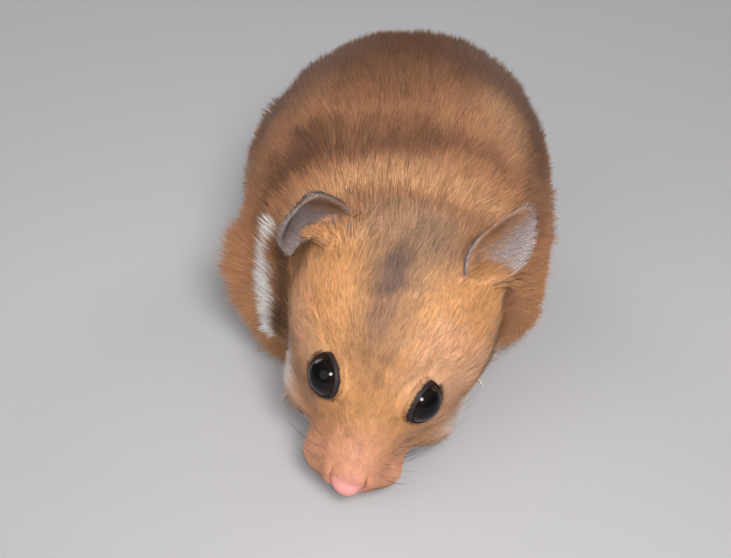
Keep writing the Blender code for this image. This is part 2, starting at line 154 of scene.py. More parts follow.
def coat_length_mm(points, owner):
    """How long the fur is at places on the body, by the part they belong to."""
    forward, outward, up = HEAD.read_mm(points).T
    height = points[:, 2] / MM
    fringe = smoothstep(*FRINGE_BELOW, up) * smoothstep(*FRINGE_OUTWARD, np.abs(outward))
    fringe = fringe * smoothstep(*FRINGE_BEHIND, forward)
    length = np.interp(forward, *HEAD_FUR) * np.interp(up, *LOW_HEAD_FUR) * (1 + FRINGE * fringe)
    trunk = np.interp(points[:, 1] / MM, *TRUNK_FUR) * np.interp(height, *LOW_TRUNK_FUR)
    for names, values in (
        (("trunk", "neck"), np.maximum(trunk * NECK_LEAST, np.minimum(length, trunk))),
        (("foreleg", "hindleg"), np.interp(height, *LEG_FUR)), *SHORT_FUR,
    ):
        length = np.where(owned_by(owner, *names), values, length)
    return length


# ==================================================================== mesh tools
def new_object(name, data):
    item = bpy.data.objects.new(name, data)
    bpy.context.scene.collection.objects.link(item)
    return item


def settle(item):
    """Applies the object's modifiers to its mesh."""
    evaluated = item.evaluated_get(bpy.context.evaluated_depsgraph_get())
    mesh = bpy.data.meshes.new_from_object(evaluated)
    item.modifiers.clear()
    item.data = mesh


def read(items, key, width=1, kind=np.float32):
    """One value or row of values for each item of a mesh's collection."""
    values = np.empty(len(items) * width, kind)
    items.foreach_get(key, values)
    return values.reshape(-1, width) if width > 1 else values


def coordinates(mesh):
    return read(mesh.vertices, "co", 3).astype(float)


def set_coordinates(mesh, values):
    mesh.vertices.foreach_set("co", np.asarray(values, np.float32).ravel())
    mesh.update()


def vertex_normals(mesh):
    return read(mesh.vertex_normals, "vector", 3).astype(float)


def edge_pairs(mesh):
    return read(mesh.edges, "vertices", 2, np.int32)


def store(mesh, name, values):
    """Gives a mesh's corners an attribute: a place, a number or a whole number."""
    values = np.asarray(values)
    whole = values.dtype.kind == "i"
    kind = "FLOAT_VECTOR" if values.ndim > 1 else "INT" if whole else "FLOAT"
    layer = mesh.attributes.new(name, kind, "POINT")
    values = values.astype(np.int32 if whole else np.float32)
    layer.data.foreach_set("vector" if values.ndim > 1 else "value", values.ravel())


def relaxed(values, edges, steps, share=0.5):
    """Each value moved a share of the way to its neighbours' mean, again and again."""
    values = np.array(values, float)
    flat = values.ndim == 1
    if flat:
        values = values[:, None]
    share = np.broadcast_to(share, (len(values),))[:, None]
    count = np.maximum(np.bincount(edges.ravel(), minlength=len(values)), 1)[:, None]
    near, far = edges[:, 0], edges[:, 1]
    for _ in range(steps):
        total = np.empty_like(values)
        for axis in range(values.shape[1]):
            column = values[:, axis]
            total[:, axis] = np.bincount(near, column[far], len(values)) + np.bincount(
                far, column[near], len(values))
        values += (total / count - values) * share
    return values[:, 0] if flat else values


def mesh_from(name, points, faces):
    mesh = bpy.data.meshes.new(name)
    mesh.from_pydata([tuple(p) for p in points], [], faces)
    mesh.update()
    return mesh


def tube(path, radii, sides):
    """Points and faces of a closed tapering tube along a path."""
    askew = (0.31, 0.17, 0.93)
    ahead = unit(np.gradient(path, axis=0))
    across = unit(np.cross(ahead, askew))
    other = np.cross(ahead, across)
    points, faces = [], []
    for place, first, second, radius in zip(path, across, other, radii):
        for k in range(sides):
            angle = math.tau * k / sides
            points.append(place + radius * (math.cos(angle) * first + math.sin(angle) * second))
    for ring in range(len(path) - 1):
        for k in range(sides):
            j = (k + 1) % sides
            low, high = ring * sides, (ring + 1) * sides
            faces.append((low + k, low + j, high + j, high + k))
    faces.append(tuple(range(sides))[::-1])
    faces.append(tuple(range(len(points) - sides, len(points))))
    return points, faces


class EarFrame:
    """An ear's foot, the way to its tip, the outward direction square to it, and its open side."""

    FOOT_CORNERS = 12              # of the node, nearest the head
    OPENING_AWAY = 0.7             # of the ear's height, both forward and outward

    def __init__(self, name, side):
        points = coordinates(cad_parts[f"ear_{name}"].data)
        from_head = np.linalg.norm(points - node_middle("head"), axis=1)
        self.foot = points[np.argsort(from_head)[:self.FOOT_CORNERS]].mean(axis=0)
        from_foot = np.linalg.norm(points - self.foot, axis=1)
        self.height = from_foot.max()
        self.upward = unit(points[np.argmax(from_foot)] - self.foot)
        outward = HEAD.left * side
        self.outward = unit(outward - self.upward * (outward @ self.upward))
        away = HEAD.forward * self.OPENING_AWAY + self.outward * self.OPENING_AWAY
        self.opening = points.mean(axis=0) + away * self.height

    def read(self, points):
        """Share of the height, and millimetres outward from the line between foot and tip."""
        away = points - self.foot
        return away @ self.upward / self.height, away @ self.outward / MM


EARS = {name: EarFrame(name, side) for name, side in SIDES.items()}


class Pile:
    """Points and faces of several closed shapes, gathered into one mesh."""

    def __init__(self):
        self.points = []
        self.faces = []

    def add(self, points, faces):
        start = len(self.points)
        self.points += [tuple(p) for p in points]
        self.faces += [tuple(start + i for i in face) for face in faces]

    def object(self, name):
        mesh = mesh_from(name, self.points, self.faces)
        mesh.shade_smooth()
        return new_object(name, mesh)


# ==================================================================== shader tools
class Value:
    """A shader socket. Python's operators on it add the Math nodes."""

    def __init__(self, shader, socket):
        self.shader = shader
        self.socket = socket

    def __add__(self, other):
        return self.shader.math("ADD", self, other)

    __radd__ = __add__

    def __sub__(self, other):
        return self.shader.math("SUBTRACT", self, other)

    def __rsub__(self, other):
        return self.shader.math("SUBTRACT", other, self)

    def __mul__(self, other):
        return self.shader.math("MULTIPLY", self, other)

    __rmul__ = __mul__

    def __truediv__(self, other):
        return self.shader.math("DIVIDE", self, other)

    def __rtruediv__(self, other):
        return self.shader.math("DIVIDE", other, self)


def label(key):
    """A socket's name as the shader shows it, from its name in Python."""
    return key.replace("_", " ").title().replace("Ior", "IOR")


class Shader:
    """A material with one Principled BSDF, and short ways to feed it."""

    def __init__(self, name, **constants):
        self.material = bpy.data.materials.new(name)
        self.material.use_nodes = True
        self.tree = self.material.node_tree
        self.surface = self.tree.nodes["Principled BSDF"]
        for key, value in constants.items():
            self.surface.inputs[label(key)].default_value = value

    def node(self, kind, settings=None, sockets=None, output=0):
        item = self.tree.nodes.new(kind)
        for key, value in (settings or {}).items():
            setattr(item, key, value)
        for key, value in (sockets or {}).items():
            self.feed(item.inputs[key], value)
        return Value(self, item.outputs[output])

    def feed(self, target, value):
        if isinstance(value, Value):
            self.tree.links.new(value.socket, target)
        elif hasattr(value, "__len__") and len(value) < len(target.default_value):
            target.default_value = (*value, 1.0)
        else:
            target.default_value = value

    def math(self, operation, *values):
        return self.node("ShaderNodeMath", {"operation": operation}, dict(enumerate(values)))

    def vector(self, operation, *values, output="Vector"):
        return self.node("ShaderNodeVectorMath", {"operation": operation}, dict(enumerate(values)), output)

    def clipped(self, value):
        return self.node("ShaderNodeMath", {"operation": "ADD", "use_clamp": True}, {0: value, 1: 0.0})

    def step(self, low, high, value):
        """0 at low, 1 at high and smooth between, whichever is the greater."""
        return self.node(
            "ShaderNodeMapRange", {"interpolation_type": "SMOOTHSTEP"},
            {"Value": value, "From Min": low, "From Max": high, "To Min": 0.0, "To Max": 1.0})

    def mix(self, share, first, second):
        return self.node(
            "ShaderNodeMix", {"data_type": "RGBA"}, {0: share, 6: first, 7: second}, 2)

    def attribute(self, name, output="Fac"):
        return self.node("ShaderNodeAttribute", {"attribute_name": name}, output=output)

    def place_mm(self):
        """The place on the object, in millimetres."""
        place = self.node("ShaderNodeTexCoord", output="Object")
        return self.vector("MULTIPLY", place, (1 / MM,) * 3)

    def noise(self, place, scale, detail=2.0, roughness=0.5):
        return self.node(
            "ShaderNodeTexNoise", {"noise_dimensions": "3D"},
            {"Vector": place, "Scale": scale, "Detail": detail, "Roughness": roughness}, "Fac")

    def set(self, **fed):
        for key, value in fed.items():
            self.feed(self.surface.inputs[label(key)], value)
        return self.material


# ==================================================================== markings
NEARLY_ALL = 0.9        # share of the bare pink where it is full
# lines down each side behind the cheek, on the left: outward from the middle, along Y, up
WHITE_BAND = (
    (21.7, -18.8, 35.0), (22.5, -20.6, 28.5), (22.6, -21.8, 22.0), (22.3, -20.4, 13.5))
BEHIND_CHEEK = ((17.5, -24.5, 38.5), (18.8, -24.8, 33.0), (19.2, -26.0, 26.0), (19.4, -23.8, 17.0))
BAND_SHIFT = {1.0: (-3.2, 5.0), -1.0: (1.0, 0.0)}     # along X and ahead, as the head is turned
# arcs across the shoulders: along X, along Y, up
LIGHT_ARC = (
    (-16.0, -22.0, 40.0), (-7.2, -21.3, 46.8), (0.0, -19.6, 48.6), (8.0, -19.9, 47.6), (16.0, -18.2, 44.0),
    (23.0, -17.0, 36.0))
DARK_ARC = (
    (-24.0, -14.0, 34.0), (-15.0, -13.0, 45.6), (-7.7, -14.6, 49.0), (2.3, -14.6, 50.0), (12.0, -10.3, 49.2),
    (20.0, -9.0, 44.0))


class Markings:
    """The coat's colours by place, for the skin and for every lock of the coat."""

    # scale for each millimetre, detail and roughness of the noises
    WARP, MOTTLE, SPECKLE = (0.16, 3.0), (0.5, 3.0, 0.6), (1.7, 2.0, 0.6)
    # millimetres at which a tone begins and is full, forward, outward or up on the head
    HEAD_FROM, MUZZLE_FROM = (-32.0, -19.0), (3.0, 12.0)
    LONG_FUR_BEHIND, SMOOTH_FACE, BELLY_BEHIND = (0.0, -14.0), (-30.0, -4.0), (-16.0, -22.0)
    CHEEK_RIM = (-6.8, -9.6), (-14.0, -9.0), (6.0, 1.0)
    THROAT = (-24.0, -16.0), (-16.0, -20.0), (14.0, 10.0)
    # and along and up the body
    BEFORE_NECK, CHEEKS_BEFORE = (-22.0, -29.0), (-27.0, -31.0)
    BACK_ABOVE, TICKED_ABOVE, BELLY_BELOW = (12.0, 32.0), (18.0, 40.0), (10.0, 5.0)
    # the hips' dark tone, fuller high up, is partly the fur's own and partly painted shade on the rump's top
    # and edges
    HIPS_BEHIND, HIPS_DARK_ABOVE = (-4.0, 17.0), (20.0, 37.0)
    # radius in millimetres, edge and strength of the lines
    LIGHT_ARC_LINE, DARK_ARC_LINE = (2.8, 0.7, 0.6), (2.4, 0.7, 0.5)
    STRIPE_LINE, BAND_LINE, CREASE_LINE = (1.7, 0.35, 0.75), (1.9, 0.25, 1.0), (0.3, 0.6, 0.6)
    # the crease's dark red is painted shade in the nostril's slit
    BAND_WHITE, TAIL_PINK, CREASE_RED = (0.95, 0.90, 0.85), (0.78, 0.55, 0.46), (0.36, 0.08, 0.05)
    # painted shade in the hollow at each ear's foot
    EAR_HOLLOW = (-20.2, 15.8, 0.6), (2.3, 1.6, 4.6)       # middle and radii
    FLANK_STREAK = (-28.0, 6.0, 26.0), (3.0, 3.0, 8.0)
    TAIL_REACH = (4.2, 5.5, 4.2), 0.3                      # radii and edge
    STRONG, FAINT = 0.85, 0.4                    # shares of a tone where it is full
    LOW_HIPS = 0.4                               # share of the hips' tone down their sides
    # tone, strength, middle and radii of soft patches on the head, given on its left
    ON_HEAD = (
        ("cheek", 0.7, (-4.0, 14.0, -6.0), (12.0, 6.5, 8.0)),
        ("gold", 0.4, (-9.0, 9.0, 4.0), (8.0, 5.0, 6.0)),
        ("gold", 0.3, (1.5, 3.5, 2.0), (7.0, 3.5, 4.0)),
        ("gold", 0.5, (-20.0, 12.0, 0.0), (5.0, 4.0, 6.0)),
    )
    # the same where its left and right differ, given by how far to the left
    ON_CROWN = (
        ("nape", 0.75, (-25.5, -0.8, 2.0), (8.5, 9.0, 9.0)),
        ("crown", 0.38, (-13.0, -1.4, 6.0), (12.0, 5.0, 7.0)),
        ("crown", 0.80, (-18.2, -1.8, 6.0), (3.8, 2.6, 5.0)),
        ("crown", 0.65, (-22.4, -0.8, 4.0), (3.4, 2.2, 5.0)),
        ("crown", 0.45, (-12.0, -1.8, 6.0), (5.0, 2.0, 5.0)),
        ("crown", 0.40, (-26.0, 3.0, 2.0), (3.0, 4.5, 6.0)),
        ("cheek", 0.60, (-6.0, 9.5, 2.0), (8.0, 6.0, 8.0)),
        ("nose", 0.75, (13.4, 0.2, -3.0), (5.2, 1.9, 3.4)),
    )
    # on the body: along X, along Y, up. Partly the fur's own patches and partly painted light: the rump-toned
    # ones are painted shade, the saddle-toned one a painted pool of light
    ON_BODY = (
        ("rump", 0.55, (-17.0, -10.0, 45.0), (9.0, 6.0, 8.0)),
        ("rump", 0.30, (-2.0, 2.0, 53.0), (10.0, 7.0, 6.0)),
        ("rump", 0.45, (1.0, -11.0, 50.0), (9.0, 4.5, 5.0)),
        ("rump", 0.40, (-11.5, -8.5, 48.0), (7.0, 5.0, 6.0)),
        ("saddle", 0.45, (20.0, 4.0, 44.0), (8.0, 9.0, 7.0)),
        ("rump", 0.42, (27.5, 0.0, 34.0), (6.0, 14.0, 8.0)),
    )

    def __init__(self, shader, place):
        self.shader = shader
        self.place = shader.vector("MULTIPLY", place, (1 / MM,) * 3)
        from_eyes = shader.vector("SUBTRACT", self.place, tuple(HEAD.origin / MM))
        along = [shader.vector("DOT_PRODUCT", from_eyes, tuple(axis), output="Value") for axis in HEAD.axes]
        self.forward, self.leftward, self.upward = along
        self.outward = shader.math("ABSOLUTE", self.leftward)
        self.on_either_side = self.combined(self.forward, self.outward, self.upward)
        self.on_head = self.combined(self.forward, self.leftward, self.upward)
        self.y, self.z = (
            shader.vector("DOT_PRODUCT", self.place, axis, output="Value")
            for axis in ((0.0, 1.0, 0.0), (0.0, 0.0, 1.0)))
        self.warp, self.mottle, self.speckle = (
            shader.noise(self.place, *look) for look in (self.WARP, self.MOTTLE, self.SPECKLE))

    def combined(self, *values):
        return self.shader.node("ShaderNodeCombineXYZ", None, dict(enumerate(values)))

    def blob(self, base, centre, radii, edge=0.45):
        """1 inside an ellipsoid, falling to 0 over its soft and uneven edge."""
        by_warp, by_mottle = 0.6, 0.9
        away = self.shader.vector("SUBTRACT", base, centre)
        scaled = self.shader.vector("DIVIDE", away, radii)
        reach = self.shader.vector("LENGTH", scaled, output="Value")
        reach = reach + (self.warp - 0.5) * by_warp + (self.mottle - 0.5) * by_mottle
        return self.shader.step(1 + edge, 1 - edge, reach)

    def strip(self, base, start, end, radius, edge):
        """1 near the line from start to end, falling to 0 over its soft edge."""
        by_warp = 0.25
        line = np.subtract(end, start)
        away = self.shader.vector("SUBTRACT", base, tuple(start))
        share = self.shader.clipped(
            self.shader.vector("DOT_PRODUCT", away, tuple(line / (line @ line)), output="Value"))
        foot = self.shader.vector("MULTIPLY", self.combined(share, share, share), tuple(line))
        reach = self.shader.vector("DISTANCE", away, foot, output="Value") / radius
        return self.shader.step(1 + edge, 1 - edge, reach + (self.warp - 0.5) * by_warp)

    def drawn(self, colour, tone, base, points, look):
        """The colour with a bent line drawn over it: near the nearest of its straight runs."""
        radius, edge, strength = look
        runs = zip(points, points[1:])
        found, *others = (self.strip(base, start, end, radius, edge) for start, end in runs)
        for other in others:
            found = self.shader.math("MAXIMUM", found, other)
        return self.shader.mix(found * strength, colour, tone)

    def colour(self, tones):
        step, mix = self.shader.step, self.shader.mix
        uneven = self.warp - 0.5
        near, far = uneven * 8, uneven * 10     # millimetres by which the borders wander
        head = step(*self.HEAD_FROM, self.forward + near) * step(*self.BEFORE_NECK, self.y)
        back = step(*self.BACK_ABOVE, self.z + near)
        # the hips' mask for the rump's dark tone, fuller high up: partly the fur's own colour, partly painted
        # shade
        high = step(*self.HIPS_DARK_ABOVE, self.z + far)
        hips = step(*self.HIPS_BEHIND, self.y + far) * (self.LOW_HIPS + high * (1 - self.LOW_HIPS))

        body = mix(back, tones.flank, tones.back)
        body = mix(hips * self.STRONG, body, tones.rump)
        colour = mix(head, body, tones.orange)
        # soft patches from the tables; those on the body are partly painted shade and painted light
        for base, marks in (
            (self.on_either_side, self.ON_HEAD), (self.on_head, self.ON_CROWN), (self.place, self.ON_BODY)):
            for tone, strength, middle, radii in marks:
                colour = mix(self.blob(base, middle, radii) * strength, colour, getattr(tones, tone))
        colour = self.drawn(colour, tones.saddle, self.place, LIGHT_ARC, self.LIGHT_ARC_LINE)
        colour = self.drawn(colour, tones.rump, self.place, DARK_ARC, self.DARK_ARC_LINE)
        colour = mix(step(*self.MUZZLE_FROM, self.forward) * self.STRONG, colour, tones.muzzle)

        for side, (aside, ahead) in BAND_SHIFT.items():
            stripe, band = (
                [(side * x + aside, y - ahead, z) for x, y, z in line] for line in (BEHIND_CHEEK, WHITE_BAND))
            colour = self.drawn(colour, tones.dark, self.place, stripe, self.STRIPE_LINE)
            colour = self.drawn(colour, self.BAND_WHITE, self.place, band, self.BAND_LINE)
        colour = mix(self.blob(self.place, *self.FLANK_STREAK) * self.FAINT, colour, tones.pale)
        tail = self.blob(self.place, tuple(TAIL_MIDDLE / MM), *self.TAIL_REACH)
        colour = mix(tail * NEARLY_ALL, colour, self.TAIL_PINK)
        # painted shade along the nostril's crease
        colour = self.drawn(colour, self.CREASE_RED, self.on_either_side, NOSTRIL_CREASE, self.CREASE_LINE)
        return mix(self.underside(uneven), colour, tones.pale)

    def underside(self, uneven):
        """1 on the belly, the throat and the lower rim of the cheeks."""
        step = self.shader.step
        below, behind, before = self.CHEEK_RIM
        cheek_rim = step(*below, self.upward + uneven * 3) * step(*behind, self.forward)
        cheek_rim = cheek_rim * step(*before, self.forward) * step(*self.CHEEKS_BEFORE, self.y)
        ahead, below, inward = self.THROAT
        throat = step(*ahead, self.forward) * step(*below, self.upward) * step(*inward, self.outward)
        belly = step(*self.BELLY_BELOW, self.z + uneven * 5) * step(*self.BELLY_BEHIND, self.forward)
        return self.shader.clipped(belly + throat + cheek_rim * 0.8)

    def ear_hollow(self):
        """Painted shade in the hollow at the foot of an ear's cup."""
        return self.blob(self.on_either_side, *self.EAR_HOLLOW)

    def long_fur(self):
        """0 on the face and 1 from the ears backwards."""
        return self.shader.step(*self.LONG_FUR_BEHIND, self.forward)

    def ticking(self):
        """How strongly the tips are dark: on the back and crown most, on the face least."""
        back = self.shader.step(*self.TICKED_ABOVE, self.z)
        face = self.shader.step(*self.SMOOTH_FACE, self.forward)
        return self.shader.clipped(back * (1 - face) + 0.2)


class Tones:
    """Colours of the coat, read from the scene's settings."""

    def __init__(self, settings):
        for name in settings.__annotations__:
            value = getattr(settings, name)
            setattr(self, name, tuple(value) if hasattr(value, "__len__") else value)


# ==================================================================== settings
def colour_property(name, description, default):
    return FloatVectorProperty(
        name=name, description=description, default=default, size=3, min=0.0, max=1.0, subtype="COLOR")


class HamsterColours(bpy.types.PropertyGroup):
    """Colours of the coat, the bare skin and the eyes."""

    orange: colour_property("Head", "Fur of the head", (0.64, 0.32, 0.14))
    gold: colour_property("Brow", "Brighter fur above the eyes", (0.80, 0.42, 0.17))
    cheek: colour_property("Cheek", "Fur of the cheeks", (0.70, 0.40, 0.25))
    muzzle: colour_property("Muzzle", "Short fur of the muzzle", (0.78, 0.37, 0.22))
    crown: colour_property("Crown", "Dark smudge between the ears", (0.16, 0.10, 0.08))
    nape: colour_property("Nape", "Grizzled fur behind the ears", (0.40, 0.24, 0.14))
    saddle: colour_property("Saddle", "Light fur across the shoulders", (0.66, 0.36, 0.18))
    back: colour_property("Back", "Fur along the back", (0.46, 0.215, 0.105))
    flank: colour_property("Flank", "Fur of the flanks", (0.50, 0.24, 0.11))
    # darkened partly as painted shade on the rump's top and edges; it also colours the painted shade patches
    # on the body
    rump: colour_property("Rump", "Fur over the hips", (0.115, 0.051, 0.028))
    dark: colour_property("Cheek stripe", "Dark stripe behind the cheek", (0.10, 0.055, 0.035))
    pale: colour_property("Belly", "Belly, throat and bands behind the cheeks", (0.80, 0.74, 0.68))
    undercoat: colour_property("Undercoat", "Slate foot of every hair", (0.26, 0.17, 0.12))
    nose: colour_property("Nose", "Bare skin of the nose and paws", (0.68, 0.28, 0.27))
    ear: colour_property("Ear", "Bare skin of the ears", (0.20, 0.16, 0.16))
    lid: colour_property("Eyelid", "Bare rims of the eyelids", (0.026, 0.016, 0.017))


class HamsterCoat(bpy.types.PropertyGroup):
    """How thick the coat grows and how it lies."""

    density: FloatProperty(name="Density", description="Share of the full count of locks",
                           default=1.0, min=0.05, max=1.0, subtype="FACTOR")
    reach: FloatProperty(name="Reach", description="Share of the coat's depth that the tips stand off",
                         default=1.0, min=0.2, max=1.2, subtype="FACTOR")
    clumping: FloatProperty(name="Clumping", description="How far tips gather into tufts",
                            default=0.34, min=0.0, max=1.0, subtype="FACTOR")
    seed: IntProperty(name="Seed", description="Start of the coat's random draws", default=7, min=0)


class HamsterStage(bpy.types.PropertyGroup):
    """Camera and lights round the animal."""

    azimuth: FloatProperty(name="Azimuth", description="Camera's turn from straight ahead",
                           default=math.radians(4.0), subtype="ANGLE")
    elevation: FloatProperty(name="Elevation", description="Camera's height above the floor line",
                             default=math.radians(33.0), subtype="ANGLE")
    distance: FloatProperty(name="Distance", description="From the camera to its target",
                            default=0.262, min=0.05, unit="LENGTH")
    lens: FloatProperty(name="Lens", description="Focal length in millimetres",
                        default=75.0, min=10.0, unit="CAMERA")
    key: FloatProperty(name="Key light", description="Power of the light beside the camera",
                       default=0.31, min=0.0, unit="POWER")
    fill: FloatProperty(name="Soft boxes", description="Power of each large soft light",
                        default=1.0, min=0.0, unit="POWER")


# ==================================================================== skin
VOXEL = 0.42 * MM
SWELL, EAR_SWELL = 0.25 * MM, 0.05 * MM
WELD = 0.001 * MM
NOSE_REFINED = (7 * MM, 4.5 * MM)              # two spheres round its tip, each halving the skin's edges
# fur's length in millimetres, and how deep under its tips the skin lies as a share of it
SKIN_DEPTH = ((0.5, 2.0, 5.0, 8.0), (0.2, 0.3, 0.42, 0.5))
EAR_DEPTH, BARE_DEPTH = 0.2, 0.05              # in millimetres
LID_DEPTH = ((4.5, 9.0), (0.45, 1.0))          # millimetres from an eye's middle, and share of the depth
SMOOTHED, FINE_SMOOTHED = 0.5, 0.04            # share of the way to the neighbours, at each step
FACE_SMOOTHED = 0.06
FIRST_STEPS, FORM_STEPS, NORMAL_STEPS, DEPTH_STEPS, LAST_STEPS = 4, 26, 10, 45, 8
BARE_STEPS, EAR_STEPS, RIM_STEPS = 6, 4, 7     # over which the finish's borders are blurred
RIM_BEND = 0.22, 0.6
UNWRAP_ANGLE, UNWRAP_MARGIN = math.radians(72), 0.002
FACE_FROM_MM = -4.0                            # forward of this line the fur is short, straight needles


def flesh_mesh(name):
    """A node's closed mesh, welded and swollen a little so that it meets its neighbours."""
    flat, rounding = 0.7, 0.6
    bm = bmesh.new()
    bm.from_mesh(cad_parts[name].data)
    bmesh.ops.remove_doubles(bm, verts=bm.verts, dist=WELD)
    bmesh.ops.recalc_face_normals(bm, faces=bm.faces)
    is_ear = name.startswith("ear_")
    if is_ear:
        bmesh.ops.join_triangles(bm, faces=bm.faces, angle_face_threshold=flat, angle_shape_threshold=flat)
        bmesh.ops.subdivide_edges(bm, edges=bm.edges, cuts=1, use_grid_fill=True, smooth=rounding)
    bm.normal_update()
    for vert in bm.verts:
        vert.co += vert.normal * (EAR_SWELL if is_ear else SWELL)
    mesh = bpy.data.meshes.new(name)
    bm.to_mesh(mesh)
    bm.free()
    return mesh


EYE_RADIUS = 3.65 * MM
LID_TURN = {1.0: (0.74, 0.62), -1.0: (0.60, 0.76)}   # outward and up, of the opening's middle
LID_AHEAD = 0.25
LID_ALONG = (1.0, -0.35, -0.1)     # towards the nose, the way the opening is longest
LID_LONG = math.radians(71.0)      # half angles of the opening: along it, to its cheek and to its brow
LID_LOWER = math.radians(48.0)
LID_UPPER = math.radians(49.0)
LID_ROUND = 0.14                   # of the opening's corners
CORNEA_RADIUS = 0.92 * EYE_RADIUS
CORNEA_AHEAD = 0.15 * EYE_RADIUS
LID_THICKNESS = 0.27 * MM
LID_STEPS = 64
# degrees beyond the opening's edge and thicknesses over the ball, round the lid's section
LID_PROFILE = (
    (9.0, -0.35), (5.0, -0.05), (1.0, 0.10), (-1.0, 0.26), (-0.5, 0.50), (2.0, 0.72),
    (6.0, 0.80), (11.0, 0.60), (16.0, 0.20), (21.0, -0.45), (18.0, -1.1),
)
SOCKET_DEPTH = 0.8 * MM            # of the skin, under the ball's surface inside the opening
SOCKET_RIM = 0.1 * MM              # and over it round the lid
SOCKET_EDGE = math.radians(12)     # beyond the opening
SOCKET_BLEND = math.radians(22), math.radians(50)
SOCKET_NEAR = 2.2 * EYE_RADIUS, math.radians(60)


def eye_axes(side):
    """Where an eye looks, its long axis towards the nose, and the third direction."""
    axis = HEAD.direction(LID_AHEAD, *LID_TURN[side], side)
    towards_nose = HEAD.direction(*LID_ALONG, side)
    long_axis = unit(towards_nose - axis * (towards_nose @ axis))
    return axis, long_axis, np.cross(axis, long_axis)


def lid_angle(phi, side):
    """The opening's half angle: an almond between two arcs that meet in rounded corners."""
    across = np.sqrt(np.sin(phi) ** 2 + LID_ROUND ** 2)
    lower = 0.5 + 0.5 * np.sin(phi) * side
    short = LID_UPPER + (LID_LOWER - LID_UPPER) * lower
    sag = (LID_LONG ** 2 - short ** 2) / (2 * short)
    return np.sqrt(LID_LONG ** 2 + (sag * across) ** 2) - sag * across


def lid_ring(centre, side):
    """The rolled rim round an eye, from under the lid out over the ball to the cheek."""
    axis, long_axis, third = eye_axes(side)
    points, faces = [], []
    for step in range(LID_STEPS):
        phi = math.tau * step / LID_STEPS
        spread = lid_angle(phi, side)
        sideways = math.cos(phi) * long_axis + math.sin(phi) * third
        for widen, rise in LID_PROFILE:
            theta = spread + math.radians(widen)
            radius = EYE_RADIUS + rise * LID_THICKNESS
            points.append(centre + radius * (math.cos(theta) * axis + math.sin(theta) * sideways))
    count = len(LID_PROFILE)
    for step in range(LID_STEPS):
        near, far = step * count, (step + 1) % LID_STEPS * count
        for k in range(count):
            j = (k + 1) % count
            faces.append((near + k, near + j, far + j, far + k))
    return points, faces


def refine(bm, centre, radius):
    """Halves the edges inside a sphere."""
    edges = [edge for edge in bm.edges if all((vert.co - centre).length < radius for vert in edge.verts)]
    bmesh.ops.subdivide_edges(bm, edges=edges, cuts=1, use_grid_fill=True)


def nearest_on_path(points, path):
    """Distance of each point from a chain of straight runs, and how far along it lies."""
    best = np.full(len(points), np.inf)
    along = np.zeros(len(points))
    for index, (start, end) in enumerate(zip(path, path[1:])):
        line = end - start
        share = np.clip((points - start) @ line / (line @ line), 0.0, 1.0)
        away = np.linalg.norm(points - start - share[:, None] * line, axis=1)
        closer = away < best
        best[closer] = away[closer]
        along[closer] = (index + share[closer]) / (len(path) - 1)
    return best, along


def carve(points, normals, path, radius_mm, depth_mm, taper):
    """Presses a soft groove into the skin along a path, fading towards the path's ends."""
    least = 0.15
    away, along = nearest_on_path(points, np.array(path))
    fade = np.minimum(1.0, np.minimum(along, 1 - along) / taper + least)
    push = depth_mm * MM * fade * np.exp(-(away / (radius_mm * MM)) ** 2)
    return points - normals * push[:, None]


PAD_TRIM = ((10.0, 8.0, -7.0), 3.6, 0.9)     # middle, reach and depth of the left pad's flattening
# forward, outward and up: the groove below the nose, the edge of the nose's wing from above down to
# the lip, and the line of the mouth
LIP_GROOVE = ((17.6, 0.0, -6.0), (16.6, 0.0, -8.4), (15.2, 0.0, -10.2))
NOSTRIL_CREASE = ((13.6, 3.0, -2.6), (15.3, 3.3, -4.2), (16.4, 3.0, -5.8), (16.4, 2.0, -7.2))
MOUTH_LINE = ((15.4, 0.2, -10.4), (13.0, 3.2, -11.4), (9.5, 5.2, -12.4), (5.0, 6.3, -13.2))
# each groove's radius, depth and taper
LIP_CUT, NOSTRIL_CUT, MOUTH_CUT = (0.35, 0.6, 0.3), (0.36, 0.75, 0.4), (0.5, 0.7, 0.3)


def past_lid(points, name, side):
    """How far round the eyeball each point lies beyond the lids' rim, and how far off its middle."""
    axis, long_axis, third = eye_axes(side)
    away = points - EYE_MIDDLE[name]
    distance = np.linalg.norm(away, axis=1)
    heading = away / distance[:, None]
    theta = np.arccos(np.clip(heading @ axis, -1, 1))
    phi = np.arctan2(heading @ third, heading @ long_axis)
    return theta - lid_angle(phi, side), distance


def beside_eye(points, name, side, degrees, rise_mm):
    """Whether each point lies within an angle of the lids' rim and within a rise over the ball."""
    past_rim, distance = past_lid(points, name, side)
    return (past_rim < math.radians(degrees)) & (distance < EYE_RADIUS + rise_mm * MM)


def hollow_for_eyes(points):
    """Sinks the skin behind the eyeball inside the opening, and backs it up round the rim."""
    for name, side in EYES.items():
        centre = EYE_MIDDLE[name]
        past_rim, distance = past_lid(points, name, side)
        heading = (points - centre) / distance[:, None]
        near = (distance < SOCKET_NEAR[0]) & (past_rim < SOCKET_NEAR[1])
        natural = smoothstep(*SOCKET_BLEND, past_rim)
        wanted = (EYE_RADIUS + SOCKET_RIM) * (1 - natural) + distance * natural
        wanted = np.where(past_rim < SOCKET_EDGE, EYE_RADIUS - SOCKET_DEPTH, wanted)
        points = np.where(near[:, None], centre + heading * wanted[:, None], points)
    return points


